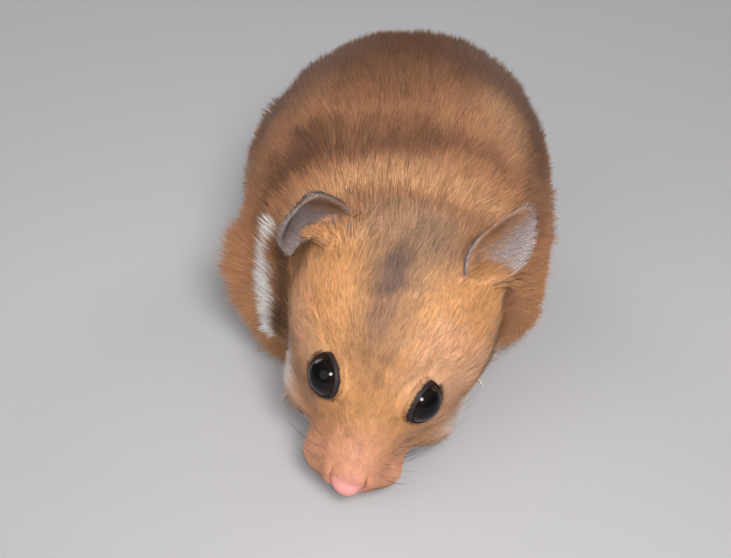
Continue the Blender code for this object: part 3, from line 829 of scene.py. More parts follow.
class HAMSTER_OT_skin(bpy.types.Operator):
    """Make the one skin of all the flesh, inside the coat's outline"""

    bl_idname = "hamster.skin"
    bl_label = "Skin"

    def execute(self, context):
        item, tree, owners = self.merged()
        points, edges = coordinates(item.data), edge_pairs(item.data)
        owner = np.array([owners[tree.find_nearest(Vector(p))[2]] for p in points])
        points = relaxed(points, edges, FIRST_STEPS)
        fine = owned_by(owner, "ear", "forepaw", "hindfoot", "nose", "tail")
        points = relaxed(points, edges, FORM_STEPS, np.where(fine, FINE_SMOOTHED, SMOOTHED))
        set_coordinates(item.data, points)

        depth = self.depth_mm(points, edges, owner)
        normals = vertex_normals(item.data)
        normals = unit(relaxed(normals, edges, NORMAL_STEPS, np.where(fine, 0.0, SMOOTHED)))
        on_face = HEAD.read_mm(points)[:, 0] > FACE_FROM_MM
        points = points - normals * (depth * MM)[:, None]
        points = relaxed(points, edges, LAST_STEPS, np.where(fine | on_face, FACE_SMOOTHED, SMOOTHED))
        set_coordinates(item.data, points)
        points = self.features(points, vertex_normals(item.data))
        points[:, 2] = np.maximum(points[:, 2], 0.0)
        set_coordinates(item.data, points)

        self.add_lids(item)
        item.data.shade_smooth()
        self.unwrap(context, item)
        self.remember(item, tree, owners, depth)
        item.data.materials.append(skin_material(context.scene.hamster_colours))
        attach(item, "root")
        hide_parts(*FLESH)
        return {"FINISHED"}

    def merged(self):
        """One closed surface round all the nodes, the tree that finds a face of theirs, and its owners."""
        pile = bmesh.new()
        owners = []
        for name in (*FLESH, *EYES):
            mesh = flesh_mesh(name)
            owners += [FLESH.index("head" if name in EYES else name)] * len(mesh.polygons)
            pile.from_mesh(mesh)
        tree = BVHTree.FromBMesh(pile)
        mesh = bpy.data.meshes.new("skin")
        pile.to_mesh(mesh)
        pile.free()
        item = new_object("skin", mesh)
        remesh = item.modifiers.new("one_surface", "REMESH")
        remesh.mode = "VOXEL"
        remesh.voxel_size = VOXEL
        settle(item)
        bm = bmesh.new()
        bm.from_mesh(item.data)
        for radius in NOSE_REFINED:
            refine(bm, Vector(NOSE_TIP), radius)
        bm.to_mesh(item.data)
        bm.free()
        return item, tree, owners

    def depth_mm(self, points, edges, owner):
        """How far the skin lies inside the nodes' outline, which the coat's tips reach."""
        ears = owned_by(owner, "ear")
        length = coat_length_mm(points, owner)
        depth = np.where(ears, EAR_DEPTH, length * np.interp(length, *SKIN_DEPTH))
        depth = np.where(owned_by(owner, "nose", "forepaw", "hindfoot", "tail"), BARE_DEPTH, depth)
        depth = relaxed(depth, edges, DEPTH_STEPS, np.where(ears, 0.0, SMOOTHED))
        for name in EYES:
            depth *= np.interp(np.linalg.norm(points - EYE_MIDDLE[name], axis=1) / MM, *LID_DEPTH)
        return depth

    def features(self, points, normals):
        """The sockets, the whisker pad's flattening, nostrils, lip and the line of the mouth."""
        points = hollow_for_eyes(points)
        middle, reach, depth = PAD_TRIM
        away = np.linalg.norm(HEAD.read_mm(points) - middle, axis=1)
        points = points - HEAD.left * (depth * MM * np.exp(-(away / reach) ** 2))[:, None]
        points = carve(points, normals, [HEAD.place(*place) for place in LIP_GROOVE], *LIP_CUT)
        for side in SIDES.values():
            for line, cut in ((NOSTRIL_CREASE, NOSTRIL_CUT), (MOUTH_LINE, MOUTH_CUT)):
                points = carve(points, normals, [HEAD.place(*place, side) for place in line], *cut)
        return points

    def add_lids(self, item):
        bm = bmesh.new()
        bm.from_mesh(item.data)
        for name, side in EYES.items():
            ring_points, ring_faces = lid_ring(EYE_MIDDLE[name], side)
            verts = [bm.verts.new(p) for p in ring_points]
            for face in ring_faces:
                bm.faces.new([verts[i] for i in face])
        bmesh.ops.recalc_face_normals(bm, faces=bm.faces)
        bm.to_mesh(item.data)
        bm.free()

    def unwrap(self, context, item):
        context.view_layer.objects.active = item
        item.select_set(True)
        item.data.uv_layers.new(name=UV_NAME)
        bpy.ops.object.mode_set(mode="EDIT")
        bpy.ops.mesh.select_all(action="SELECT")
        bpy.ops.uv.smart_project(angle_limit=UNWRAP_ANGLE, island_margin=UNWRAP_MARGIN)
        bpy.ops.object.mode_set(mode="OBJECT")
        item.select_set(False)

    def remember(self, item, tree, owners, depth):
        """Stores what the coat and the finish need at each corner: depth has none for the lids."""
        mesh = item.data
        points, edges = coordinates(mesh), edge_pairs(mesh)
        owner = np.array([owners[tree.find_nearest(Vector(p))[2]] for p in points])
        store(mesh, "part", owner)
        ears = owned_by(owner, "ear").astype(float)
        bare = owned_by(owner, "ear", "nose", "forepaw", "hindfoot", "tail").astype(float)
        lids = (np.arange(len(points)) >= len(depth)).astype(float)
        for name, side in EYES.items():
            lids = np.maximum(lids, beside_eye(points, name, side, 6, 0.5))
        # how sharply the ears' rims bend, where their pale colour and painted highlight go
        bent = 1 - np.linalg.norm(relaxed(vertex_normals(mesh), edges, RIM_STEPS), axis=1)
        covered = np.zeros(len(points))
        covered[:len(depth)] = depth
        for key, values in (
            ("bare", relaxed(bare, edges, BARE_STEPS)), ("ear", relaxed(ears, edges, EAR_STEPS)),
            ("lid", lids), ("rim", smoothstep(*RIM_BEND, bent) * ears), ("depth", covered)):
            store(mesh, key, values)


PINK_BLUSH, EAR_BLUSH = (0.80, 0.34, 0.26), (0.36, 0.27, 0.25)
# pale on the ears' curled rims: partly their pale hair, partly a painted highlight along the edge
EAR_RIM_PALE_AND_LIT = (0.52, 0.45, 0.42)
# colour and strength of the painted shade in the ears' hollows
HOLLOW_SHADE_COLOUR = (0.07, 0.042, 0.042)
HOLLOW_SHADE_STRENGTH = 0.8
NOSE_BARE = (16.2, 0.0, -5.4), (3.0, 3.4, 3.6), 0.5     # middle, radii and edge, on the head


def skin_material(colours):
    shader = Shader("skin_finish", roughness=0.55, specular_ior_level=0.25)
    tones = Tones(colours)
    mix = shader.mix
    bare, ear, lid, rim = (shader.attribute(key) for key in ("bare", "ear", "lid", "rim"))
    marks = Markings(shader, shader.node("ShaderNodeTexCoord", output="Object"))
    furred = mix(marks.long_fur() * 0.3 + 0.06, marks.colour(tones), tones.undercoat)
    blush = shader.noise(marks.place, 0.9, 3.0)
    pink = mix(blush * 0.5, tones.nose, PINK_BLUSH)
    inner = mix(blush * 0.7, tones.ear, EAR_BLUSH)
    # painted shade in the ear's hollow
    inner = mix(marks.ear_hollow() * HOLLOW_SHADE_STRENGTH, inner, HOLLOW_SHADE_COLOUR)
    # pale rims: partly pale hair, partly painted highlight
    inner = mix(rim, inner, EAR_RIM_PALE_AND_LIT)
    colour = mix(bare, furred, mix(ear, pink, inner))
    colour = mix(marks.blob(marks.on_head, *NOSE_BARE) * NEARLY_ALL, colour, pink)
    colour = mix(lid, colour, tones.lid)
    grain = shader.noise(marks.place, 5.0, 3.0, 0.6)
    relief = {"Strength": 0.35, "Distance": 0.15 * MM, "Height": grain}
    return shader.set(base_color=colour, normal=shader.node("ShaderNodeBump", None, relief, "Normal"))


# ==================================================================== eyes
EYE_SEGMENTS, EYE_RINGS = 56, 36
EYE_BLACK, EYE_BROWN = (0.0035, 0.003, 0.004), (0.010, 0.006, 0.005)
IRIS_OUTER, IRIS_INNER = (0.45, 0.62), (0.93, 0.80)     # cosines from the eye's axis


class HAMSTER_OT_eyes(bpy.types.Operator):
    """Make the two black, wet eyes"""

    bl_idname = "hamster.eyes"
    bl_label = "Eyes"

    def execute(self, context):
        for name, side in EYES.items():
            bm = bmesh.new()
            bmesh.ops.create_uvsphere(
                bm, u_segments=EYE_SEGMENTS, v_segments=EYE_RINGS, radius=EYE_RADIUS)
            axis = Vector(eye_axes(side)[0])
            for vert in bm.verts:
                facing = vert.co.z / EYE_RADIUS
                across = CORNEA_AHEAD ** 2 * (1 - facing ** 2)
                cornea = CORNEA_AHEAD * facing + math.sqrt(CORNEA_RADIUS ** 2 - across)
                vert.co *= max(cornea / EYE_RADIUS, 1.0)
            turn = axis.to_track_quat("Z", "Y").to_matrix().to_4x4()
            bmesh.ops.transform(bm, matrix=Matrix.Translation(EYE_MIDDLE[name]) @ turn, verts=bm.verts)
            mesh = bpy.data.meshes.new(name)
            bm.to_mesh(mesh)
            bm.free()
            mesh.shade_smooth()
            item = new_object(f"{name}_ball", mesh)
            mesh.materials.append(eye_material(name, side))
            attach(item, "root")
            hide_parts(name)
        return {"FINISHED"}


def eye_material(name, side):
    """Near black, with a trace of brown towards the iris's rim under a clear wet surface."""
    shader = Shader(f"{name}_finish", roughness=0.05, ior=1.26)
    place = shader.node("ShaderNodeTexCoord", output="Object")
    away = shader.vector("SUBTRACT", place, tuple(EYE_MIDDLE[name]))
    facing = shader.vector("DOT_PRODUCT", away, tuple(eye_axes(side)[0] / EYE_RADIUS), output="Value")
    iris = shader.step(*IRIS_INNER, facing) * shader.step(*IRIS_OUTER, facing)
    streaks = shader.noise(shader.place_mm(), 2.4, 4.0)
    return shader.set(base_color=shader.mix(iris * (0.4 + streaks), EYE_BLACK, EYE_BROWN))


# ==================================================================== coat
FLATNESS = 0.45                # of a lock's section
SHADED_BY_FORM = 0.5           # share of the skin's own form in a lock's shading
PATCH = 0.003                  # of the unwrap's width, for each lock
COLOUR_FROM = 0.6              # share of the way to its tip where a lock's foot takes its marking
EAR_HAIR_MM = 1.2              # on the ear's grey inner face
EAR_BACK_MM = 1.6              # on its back
EAR_GREY_FROM = {"left": -0.6, "right": 0.2}     # millimetres outward of the ear's middle line
EAR_GREY_BLEND_MM = 2.4
EAR_TUFT = (0.0, 0.4, 0.9), (3.8, 3.2, 1.8)      # share of the ear's height, and millimetres of golden fur
EAR_GOLDEN_FOOT = 0.08, 0.26                     # share of the height over which grey begins


class Roots:
    """Places on the skin where locks grow, with the skin's normal, part and unwrap there."""

    def __init__(self, item, rng, density):
        mesh = item.data
        mesh.calc_loop_triangles()
        corners = read(mesh.loop_triangles, "vertices", 3, np.int32)
        loops = read(mesh.loop_triangles, "loops", 3, np.int32)
        points, normals = coordinates(mesh), vertex_normals(mesh)
        part = read(mesh.attributes["part"].data, "value", kind=np.int32)
        depth = read(mesh.attributes["depth"].data, "value")
        unwrap = read(mesh.uv_layers[UV_NAME].data, "uv", 2)

        a, b, c = (points[corners[:, k]] for k in range(3))
        area = np.linalg.norm(np.cross(b - a, c - a), axis=1) / 2 / MM ** 2
        middle = (a + b + c) / 3
        facing = unit(np.cross(b - a, c - a))
        expected = area * locks_per_mm2(middle, facing, part[corners[:, 0]]) * density
        total = np.cumsum(expected)
        wanted = np.arange(int(total[-1])) + rng.uniform(0.0, 1.0, int(total[-1]))
        chosen = np.minimum(np.searchsorted(total, wanted), len(total) - 1)
        first, second = rng.random(len(chosen)), rng.random(len(chosen))
        flip = first + second > 1
        first[flip], second[flip] = 1 - first[flip], 1 - second[flip]
        weights = np.stack((1 - first - second, first, second), axis=1)[:, :, None]
        self.place = (points[corners[chosen]] * weights).sum(axis=1)
        self.normal = unit((normals[corners[chosen]] * weights).sum(axis=1))
        self.unwrap = (unwrap[loops[chosen]] * weights).sum(axis=1)
        self.part = part[corners[chosen, 0]]
        self.depth = (depth[corners[chosen]] * weights[:, :, 0]).sum(axis=1) * MM

    def keep(self, chosen):
        for key in ("place", "normal", "unwrap", "part", "depth"):
            setattr(self, key, getattr(self, key)[chosen])


# locks on each square millimetre: on the body, on the head by millimetres forward, and on the other parts
BODY_LOCKS = 12.0
HEAD_LOCKS = (
    (-34, -20, -8, FACE_FROM_MM - 0.5, FACE_FROM_MM + 0.5, 4, 12), (12.0, 14.0, 20.0, 23.0, 32.0, 36.0, 40.0))
OTHER_LOCKS = (
    (("foreleg", "hindleg"), 12.0), (("forepaw", "hindfoot"), 24.0), (("ear",), 24.0), (("tail",), 20.0),
    (("nose",), 30.0))
FACING_DOWN = ((-0.9, -0.3), (0.6, 1.0))       # the skin's upward facing, and the share of locks


def locks_per_mm2(points, facing, part):
    """How thickly the locks stand: most on the face, fewer where the belly is hidden."""
    count = np.interp(HEAD.read_mm(points)[:, 0], *HEAD_LOCKS)
    body = BODY_LOCKS * np.interp(facing[:, 2], *FACING_DOWN)
    for names, each in ((("trunk", "neck"), body), *OTHER_LOCKS):
        count = np.where(owned_by(part, *names), each, count)
    return count


DOWN_LEG = np.array((0.0, 0.35, -1.0))
ALONG_PAW, ALONG_TAIL = (0.0, -1.0, -0.2), (0.0, 1.0, -0.3)
LOW_ON_HEAD, NECK_TO_HEAD = (2.0, -12.0), (-34.0, -16.0)     # millimetres up and forward
HIPS_FLOW, LEG_FLOW = (25 * MM, 52 * MM), (24 * MM, 10 * MM)   # along Y and down the legs
HALF_BREADTH = 24 * MM
EYE_CLEARANCE, EYE_PARTING = 0.4 * MM, 1.1 * MM              # round the eyes, where the fur parts
DROOP, SPLAY = 0.25, 0.15              # down and outward, low on the head
SPREAD, FALL, FALL_POWER = 0.12, 0.35, 1.5     # outward over the back and down the sides
HIPS_TURN, TO_TAIL = 0.55, 0.9         # less along the back and more to the tail, on the hips
NECK_SHARE, EAR_FAN, EYE_PUSH = 0.6, 0.4, 0.45


def lie_of_coat(place, normal, part):
    """The direction in which the fur lies at each place, along the skin."""
    head = HEAD.read_mm(place)
    low = smoothstep(*LOW_ON_HEAD, head[:, 2])[:, None]
    outward = np.sign(head[:, 1])[:, None] * HEAD.left
    over_head = unit(unit(place - NOSE_TIP) - DROOP * low * HEAD.up + SPLAY * low * outward)
    side = np.clip(place[:, 0] / HALF_BREADTH, -1, 1)
    hips = smoothstep(*HIPS_FLOW, place[:, 1])[:, None]
    fall = -FALL * np.abs(side) ** FALL_POWER
    over_body = unit(np.stack((SPREAD * side, np.ones(len(place)), fall), axis=1))
    over_body = over_body * (1 - HIPS_TURN * hips) + unit(TAIL_MIDDLE - place) * TO_TAIL * hips
    share = smoothstep(*NECK_TO_HEAD, head[:, 0])[:, None]
    share = np.where(owned_by(part, "trunk", "neck")[:, None], share * NECK_SHARE, share)
    flow = over_head * share + over_body * (1 - share)
    limb = owned_by(part, "foreleg", "hindleg")[:, None] * smoothstep(*LEG_FLOW, place[:, 2])[:, None]
    flow = flow * (1 - limb) + DOWN_LEG * limb
    flow = np.where(owned_by(part, "forepaw", "hindfoot")[:, None], ALONG_PAW, flow)
    flow = np.where(owned_by(part, "tail")[:, None], ALONG_TAIL, flow)
    for name, ear in EARS.items():
        on_ear = part == FLESH.index(f"ear_{name}")
        flow = np.where(on_ear[:, None], ear.upward + EAR_FAN * unit(place - ear.foot), flow)
    for middle in EYE_MIDDLE.values():
        away = place - middle
        distance = np.linalg.norm(away, axis=1)[:, None]
        away = unit(away)
        close = np.exp(-np.maximum(distance - EYE_RADIUS - EYE_CLEARANCE, 0.0) / EYE_PARTING)
        inward = np.minimum((flow * away).sum(axis=1)[:, None], 0.0)
        flow = flow + away * close * (EYE_PUSH - inward)
    return unit(flow - normal * (flow * normal).sum(axis=1)[:, None])


def turned(vectors, axes, angles):
    """Each vector turned about its axis, to which it is square."""
    angles = angles[:, None]
    return vectors * np.cos(angles) + np.cross(axes, vectors) * np.sin(angles)


class LockShape:
    """One lock's corners and faces: a foot, a belly of three corners if it bends, and a tip."""

    SIDES = 3

    def __init__(self, bent):
        sides = self.SIDES
        rim = range(sides)
        self.ring = 1 if bent else 0
        tip = self.ring + sides
        self.corners = tip + 1
        self.along = np.array([0.0] * self.ring + [0.5 * self.ring] * sides + [1.0])
        after = [self.ring + (k + 1) % sides for k in rim]
        if bent:
            faces = [(0, self.ring + k, after[k]) for k in rim]
        else:
            faces = [tuple(rim)]
        faces += [(self.ring + k, tip, after[k]) for k in rim]
        self.face_corners = np.array(faces).ravel()
        self.faces = len(faces)


SPINDLE = LockShape(True)
NEEDLE = LockShape(False)


class Coat:
    """All the locks of the coat: their centre lines, widths and places on the unwrap."""

    KEPT = ("line", "normal", "width", "tint", "grey", "part", "unwrap", "head")
    SWIRLS = (12.0, 16.0, 11), (9.0, 5.0, 12)    # degrees, millimetres from crest to crest and seed
    STRAY = 9.0                                  # degrees by which single locks turn aside
    LENGTHS = 0.5 * MM, 12 * MM                  # least and most
    BY_EYE = (4.0, 8.0), (0.5, 1.0)              # millimetres from an eye's middle, and share of the length
    WIDTHS = (0.8, 2.0, 4.0, 9.0), (0.10, 0.12, 0.15, 0.18)     # of locks by their length, in millimetres
    SUNK = 0.1                                   # share of its length by which a lock starts under the skin
    LEAST_RISE = 0.26, 0.16                      # share of the length, on the ears and elsewhere
    LIFTS = 0.1, 1.05                            # least and most angle of a lock's first half
    END_LIFT = 0.45                              # share of that angle in its second half
    OVER_FLOOR = 0.25 * MM
    TUFT = 10                                    # locks in each tuft
    TUFT_RADIUS = 1.6 * MM
    BARE_NOSE = (17.0, 0.0, -5.6), (2.2, 2.6, 2.6)     # middle and radii on the head
    SOLE_BELOW = 1.6 * MM

    def __init__(self, item, settings):
        rng = np.random.default_rng(settings.seed)
        roots = Roots(item, rng, settings.density)
        roots.keep(self.grows(roots))
        place, normal, part = roots.place, roots.normal, roots.part
        count = len(place)
        self.head = HEAD.read_mm(place)
        flow = lie_of_coat(place, normal, part)
        swirl = sum(turn * ripple(place, size, seed) for turn, size, seed in self.SWIRLS)
        swirl = np.radians(swirl) + np.radians(self.STRAY) * rng.normal(size=count)
        flow = turned(flow, normal, swirl)
        length = coat_length_mm(place, part) * MM
        length *= 1 + 0.10 * ripple(place, 7.0, 13) + 0.14 * rng.normal(size=count)
        self.grey = np.zeros(count)
        for name in SIDES:
            length = self.on_ear(name, rng, place, part, normal, length)
        for middle in EYE_MIDDLE.values():
            length *= np.interp(np.linalg.norm(place - middle, axis=1) / MM, *self.BY_EYE)
        length = np.clip(length, *self.LENGTHS)

        # the tips' height over the skin, and from it the two angles that carry them there
        height = roots.depth * settings.reach * (0.66 + 0.38 * rng.random(count))
        height = np.maximum(height, np.where(owned_by(part, "ear"), *self.LEAST_RISE) * length)
        lift = np.clip((height / length + self.SUNK) / ((1 + self.END_LIFT) / 2), *self.LIFTS)
        lift += np.radians(4.0) * ripple(place, 6.0, 14) * smoothstep(1.5, 7.0, length / MM)
        end_lift = self.END_LIFT * lift
        start = place - normal * (self.SUNK * length)[:, None]
        half = (length * 0.5)[:, None]
        bend = start + half * (flow * np.cos(lift)[:, None] + normal * np.sin(lift)[:, None])
        tip = bend + half * (flow * np.cos(end_lift)[:, None] + normal * np.sin(end_lift)[:, None])
        long_fur = smoothstep(1.0, 6.0, length / MM)
        bend, tip = self.clumped(rng, start, bend, tip, settings.clumping * (0.3 + 0.7 * long_fur))
        for line in (bend, tip):
            line[:, 2] = np.maximum(line[:, 2], self.OVER_FLOOR)
        self.line = np.stack((start, bend, tip), axis=1)
        self.normal = normal
        self.width = np.interp(length / MM, *self.WIDTHS) * MM
        self.width *= 1 + 0.2 * rng.normal(size=count).clip(-2, 2)
        self.tint = rng.random(count)
        self.part, self.unwrap = part, roots.unwrap
        self.drop_over_eyes()

    def on_ear(self, name, rng, place, part, normal, length):
        """Golden and longer at the foot and inwards, short and grey outwards and behind."""
        ear = EARS[name]
        chosen = part == FLESH.index(f"ear_{name}")
        share, outward = ear.read(place)
        uneven = 0.9 * rng.normal(size=len(place))
        grey_from = EAR_GREY_FROM[name]
        grey = smoothstep(grey_from, grey_from + EAR_GREY_BLEND_MM, outward + uneven)
        grey = grey * smoothstep(*EAR_GOLDEN_FOOT, share)
        golden = np.interp(share, *EAR_TUFT)
        wanted = golden + (EAR_HAIR_MM - golden) * grey
        behind = (normal * (ear.opening - place)).sum(axis=1) < 0
        dark = 1.0 + 0.7 * smoothstep(0.0, 0.35, share + 0.1 * uneven)
        self.grey = np.where(chosen, np.where(behind, dark, grey), self.grey)
        return np.where(chosen, np.where(behind, EAR_BACK_MM, wanted) * MM, length)

    def grows(self, roots):
        """Not on the nose's tip, the soles and the eyelids."""
        head = HEAD.read_mm(roots.place)
        middle, radii = self.BARE_NOSE
        nose = np.linalg.norm((head - middle) / radii, axis=1) < 1
        sole = owned_by(roots.part, "forepaw", "hindfoot") & (
            (roots.normal[:, 2] < 0.1) | (roots.place[:, 2] < self.SOLE_BELOW))
        bare = nose | sole
        for name, side in EYES.items():
            bare |= beside_eye(roots.place, name, side, 13, 0.9)
        return ~bare

    def clumped(self, rng, start, bend, tip, share):
        """Draws each lock towards the middle one of its tuft, more at the tip."""
        leaders = rng.permutation(len(start))[:max(1, len(start) // self.TUFT)]
        tree = KDTree(len(leaders))
        for index, leader in enumerate(leaders):
            tree.insert(Vector(start[leader]), index)
        tree.balance()
        nearest = leaders[[tree.find(Vector(p))[1] for p in start]]
        near = np.linalg.norm(start[nearest] - start, axis=1) < self.TUFT_RADIUS
        pull = np.where(near, share, 0.0)[:, None]
        bend = bend + (bend[nearest] - bend) * pull * 0.4
        tip = tip + (tip[nearest] - tip) * pull
        return bend, tip

    def drop_over_eyes(self):
        clear = np.ones(len(self.line), bool)
        for name, side in EYES.items():
            for share in (0.5, 0.8, 1.0):
                point = self.line[:, 1] + (self.line[:, 2] - self.line[:, 1]) * (2 * share - 1)
                clear &= ~beside_eye(point, name, side, 6, 2.2)
        for key in self.KEPT:
            setattr(self, key, getattr(self, key)[clear])

    def regions(self):
        """Each piece's name, the locks that belong to it and their shape."""
        neck_to, hips_from, middle = -18, 26, 1
        x, y = self.line[:, 0, 0] / MM, self.line[:, 0, 1] / MM
        paws = owned_by(self.part, "forepaw", "hindfoot", "tail")
        limb = owned_by(self.part, "foreleg", "hindleg")
        ears = owned_by(self.part, "ear")
        on_head = owned_by(self.part, "head", "lower", "nose")
        body = ~(limb | paws | ears | on_head)
        face = on_head & (self.head[:, 0] > FACE_FROM_MM)
        belly = body & (self.normal[:, 2] < -0.45)
        upper = body & ~belly
        back = upper & (y >= neck_to) & (y <= hips_from)
        return (
            ("coat_face_left", face & (self.head[:, 1] >= 0), NEEDLE),
            ("coat_face_right", face & (self.head[:, 1] < 0), NEEDLE),
            ("coat_head", on_head & ~face, SPINDLE),
            ("coat_ears", ears, NEEDLE),
            ("coat_paws", paws, NEEDLE),
            ("coat_leg_left", limb & (x >= 0), SPINDLE),
            ("coat_leg_right", limb & (x < 0), SPINDLE),
            ("coat_belly", belly, SPINDLE),
            ("coat_neck", upper & (y < neck_to), SPINDLE),
            ("coat_rump", upper & (y > hips_from), SPINDLE),
            ("coat_back_left", back & (x >= middle), SPINDLE),
            ("coat_back_right", back & (x < middle), SPINDLE),
        )

    def piece(self, name, chosen, shape, material):
        """One joined mesh of tapering locks."""
        count = int(chosen.sum())
        points, shaded = self.corners(chosen, shape)
        mesh = bpy.data.meshes.new(name)
        loops = (np.arange(count)[:, None] * shape.corners + shape.face_corners).ravel()
        mesh.vertices.add(count * shape.corners)
        mesh.loops.add(len(loops))
        mesh.polygons.add(count * shape.faces)
        mesh.vertices.foreach_set("co", points.astype(np.float32).ravel())
        mesh.loops.foreach_set("vertex_index", loops.astype(np.int32))
        mesh.polygons.foreach_set("loop_start", np.arange(0, len(loops), 3, dtype=np.int32))
        mesh.update(calc_edges=True)
        mesh.shade_smooth()
        mesh.normals_split_custom_set_from_vertices(shaded.reshape(-1, 3).astype(np.float32))

        line = self.line[chosen]
        reach = (COLOUR_FROM + (1 - COLOUR_FROM) * shape.along)[None, :, None]
        store(mesh, "place", line[:, None, 0] * (1 - reach) + line[:, None, -1] * reach)
        store(mesh, "along", np.tile(shape.along, count))
        for key in ("tint", "grey"):
            store(mesh, key, np.repeat(getattr(self, key)[chosen], shape.corners))
        self.lay_out(mesh, self.unwrap[chosen], shape)
        mesh.materials.append(material)
        item = new_object(name, mesh)
        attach(item, "root")

    def corners(self, chosen, shape):
        """The locks' corners, and normals half of the skin's own form."""
        line, width, normal = self.line[chosen], self.width[chosen], self.normal[chosen]
        ahead = unit(line[:, 2] - line[:, 0])
        across = unit(np.cross(ahead, normal))
        raised = np.cross(across, ahead)
        points = np.empty((len(line), shape.corners, 3))
        own_normal = np.empty_like(points)
        points[:, 0], own_normal[:, 0] = line[:, 0], normal
        for k in range(shape.SIDES):
            angle = math.tau * (k + 0.25) / shape.SIDES
            offset = across * math.cos(angle) + raised * (FLATNESS * math.sin(angle))
            points[:, shape.ring + k] = line[:, shape.ring] + offset * (width / 2)[:, None]
            own_normal[:, shape.ring + k] = across * math.cos(angle) + raised * math.sin(angle)
        points[:, -1], own_normal[:, -1] = line[:, 2], raised
        return points, unit(own_normal * (1 - SHADED_BY_FORM) + normal[:, None, :] * SHADED_BY_FORM)

    def lay_out(self, mesh, root, shape):
        """A small patch for each lock, at its root's place on the skin's unwrap."""
        low, high = root.min(axis=0), root.max(axis=0)
        root = (root - low) / (high - low) * (1 - 2 * PATCH) + PATCH
        sideways = [0.0] * shape.ring + [-0.5, 0.5, 0.0] + [0.0]
        spread = np.stack((np.array(sideways), shape.along - 0.5), axis=1) * PATCH
        places = root[:, None, :] + spread[shape.face_corners]
        layer = mesh.uv_layers.new(name=UV_NAME)
        layer.data.foreach_set("uv", places.astype(np.float32).ravel())


TIP_DARK = (0.06, 0.035, 0.022)
EAR_INSIDE = (0.28, 0.23, 0.22), (0.66, 0.57, 0.54)     # its darkest and palest hairs
EAR_BACK = (0.06, 0.040, 0.032), (0.26, 0.165, 0.115)
TIP_FROM, TICKED_LOCKS, FOOT_TO = (0.4, 0.95), (0.62, 0.8), (0.5, 0.0)


def coat_material(colours):
    """Duller at the foot, the marking's colour along the lock, dark tips in the ticked parts."""
    shader = Shader("coat_finish", roughness=0.6, specular_ior_level=0.22)
    tones = Tones(colours)
    mix, step = shader.mix, shader.step
    along, tint, grey = (shader.attribute(key) for key in ("along", "tint", "grey"))
    marks = Markings(shader, shader.attribute("place", "Vector"))
    colour = marks.colour(tones)
    long_fur = marks.long_fur()
    value = 0.76 + (tint - 0.1) * (long_fur * 0.3 + 0.4) + (marks.mottle - 0.5) * 0.85
    value = value + (marks.speckle - 0.5) * (long_fur * 0.8 + 0.3)
    bright = shader.node("ShaderNodeHueSaturation", None, {"Value": value, "Color": colour, "Fac": 1.0})
    dark_tip = step(*TIP_FROM, along) * step(*TICKED_LOCKS, tint) * marks.ticking()
    tipped = mix(dark_tip * 0.7, bright, TIP_DARK)
    furred = mix(step(*FOOT_TO, along) * 0.4, tipped, tones.undercoat)
    # the ear's inner hairs, with painted shade in its hollow
    ear_inside = mix(marks.ear_hollow() * HOLLOW_SHADE_STRENGTH, mix(tint, *EAR_INSIDE), HOLLOW_SHADE_COLOUR)
    furred = mix(shader.clipped(grey), furred, ear_inside)
    return shader.set(base_color=mix(shader.clipped(grey - 1), furred, mix(tint, *EAR_BACK)))


class HAMSTER_OT_coat(bpy.types.Operator):
    """Grow the coat over the skin, in pieces by region"""

    bl_idname = "hamster.coat"
    bl_label = "Coat"

    def execute(self, context):
        coat = Coat(bpy.data.objects["skin"], context.scene.hamster_coat)
        material = coat_material(context.scene.hamster_colours)
        for name, chosen, shape in coat.regions():
            coat.piece(name, chosen, shape, material)
        return {"FINISHED"}


# ==================================================================== whiskers
WHISKER_ROWS, WHISKER_COLUMNS = 4, 5
WHISKER_FIRST = np.array((12.8, 4.0, -4.2))          # root: forward, outward and up, in millimetres
WHISKER_ROW_STEP, WHISKER_COLUMN_STEP = (0.2, 0.0, -1.3), (-1.5, 0.42, 0.0)
WHISKER_RADIUS, BROW_RADIUS, WHISKER_POINT = 0.034 * MM, 0.025 * MM, 0.01 * MM
BROW_LENGTH = 4 * MM
WHISKER_OVER_FLOOR = 0.4 * MM


class HAMSTER_OT_whiskers(bpy.types.Operator):
    """Make the whiskers of both sides of the muzzle and above the eyes"""

    bl_idname = "hamster.whiskers"
    bl_label = "Whiskers"

    def execute(self, context):
        material = whisker_material()
        rng = np.random.default_rng(context.scene.hamster_coat.seed + 1)
        for name, side in SIDES.items():
            pile = Pile()
            for row in range(WHISKER_ROWS):
                for column in range(WHISKER_COLUMNS):
                    step = np.multiply(WHISKER_ROW_STEP, row) + np.multiply(WHISKER_COLUMN_STEP, column)
                    outward = HEAD.direction(0.15 - 0.24 * column, 1.0, 0.28 - 0.22 * row, side)
                    outward = unit(outward + 0.14 * rng.normal(size=3))
                    length = (5.0 + 2.2 * column + rng.uniform(-2.0, 2.0)) * MM
                    root = HEAD.place(*(WHISKER_FIRST + step), side)
                    pile.add(*self.whisker(rng, root, outward, length, WHISKER_RADIUS))
            for k in range(2):
                root = HEAD.place(-1.5 - 1.5 * k, 4.4, 4.2, side)
                outward = HEAD.direction(-0.2 - 0.5 * k, 0.5, 1.0, side)
                pile.add(*self.whisker(rng, root, outward, BROW_LENGTH, BROW_RADIUS))
            item = pile.object(f"whiskers_{name}")
            item.data.materials.append(material)
            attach(item, "root")
        return {"FINISHED"}

    def whisker(self, rng, root, outward, length, radius):
        """A long bristle, bent backwards and a little down."""
        steps, sides, taper = 10, 5, 0.7
        bend = HEAD.direction(-1.0, 0.0, -0.35) * rng.uniform(0.25, 0.45)
        shares = np.linspace(0.0, 1.0, steps)[:, None]
        path = root + length * (outward * shares + bend * shares ** 2)
        path[:, 2] = np.maximum(path[:, 2], WHISKER_OVER_FLOOR)
        return tube(path, radius * (1 - shares[:, 0]) ** taper + WHISKER_POINT, sides)


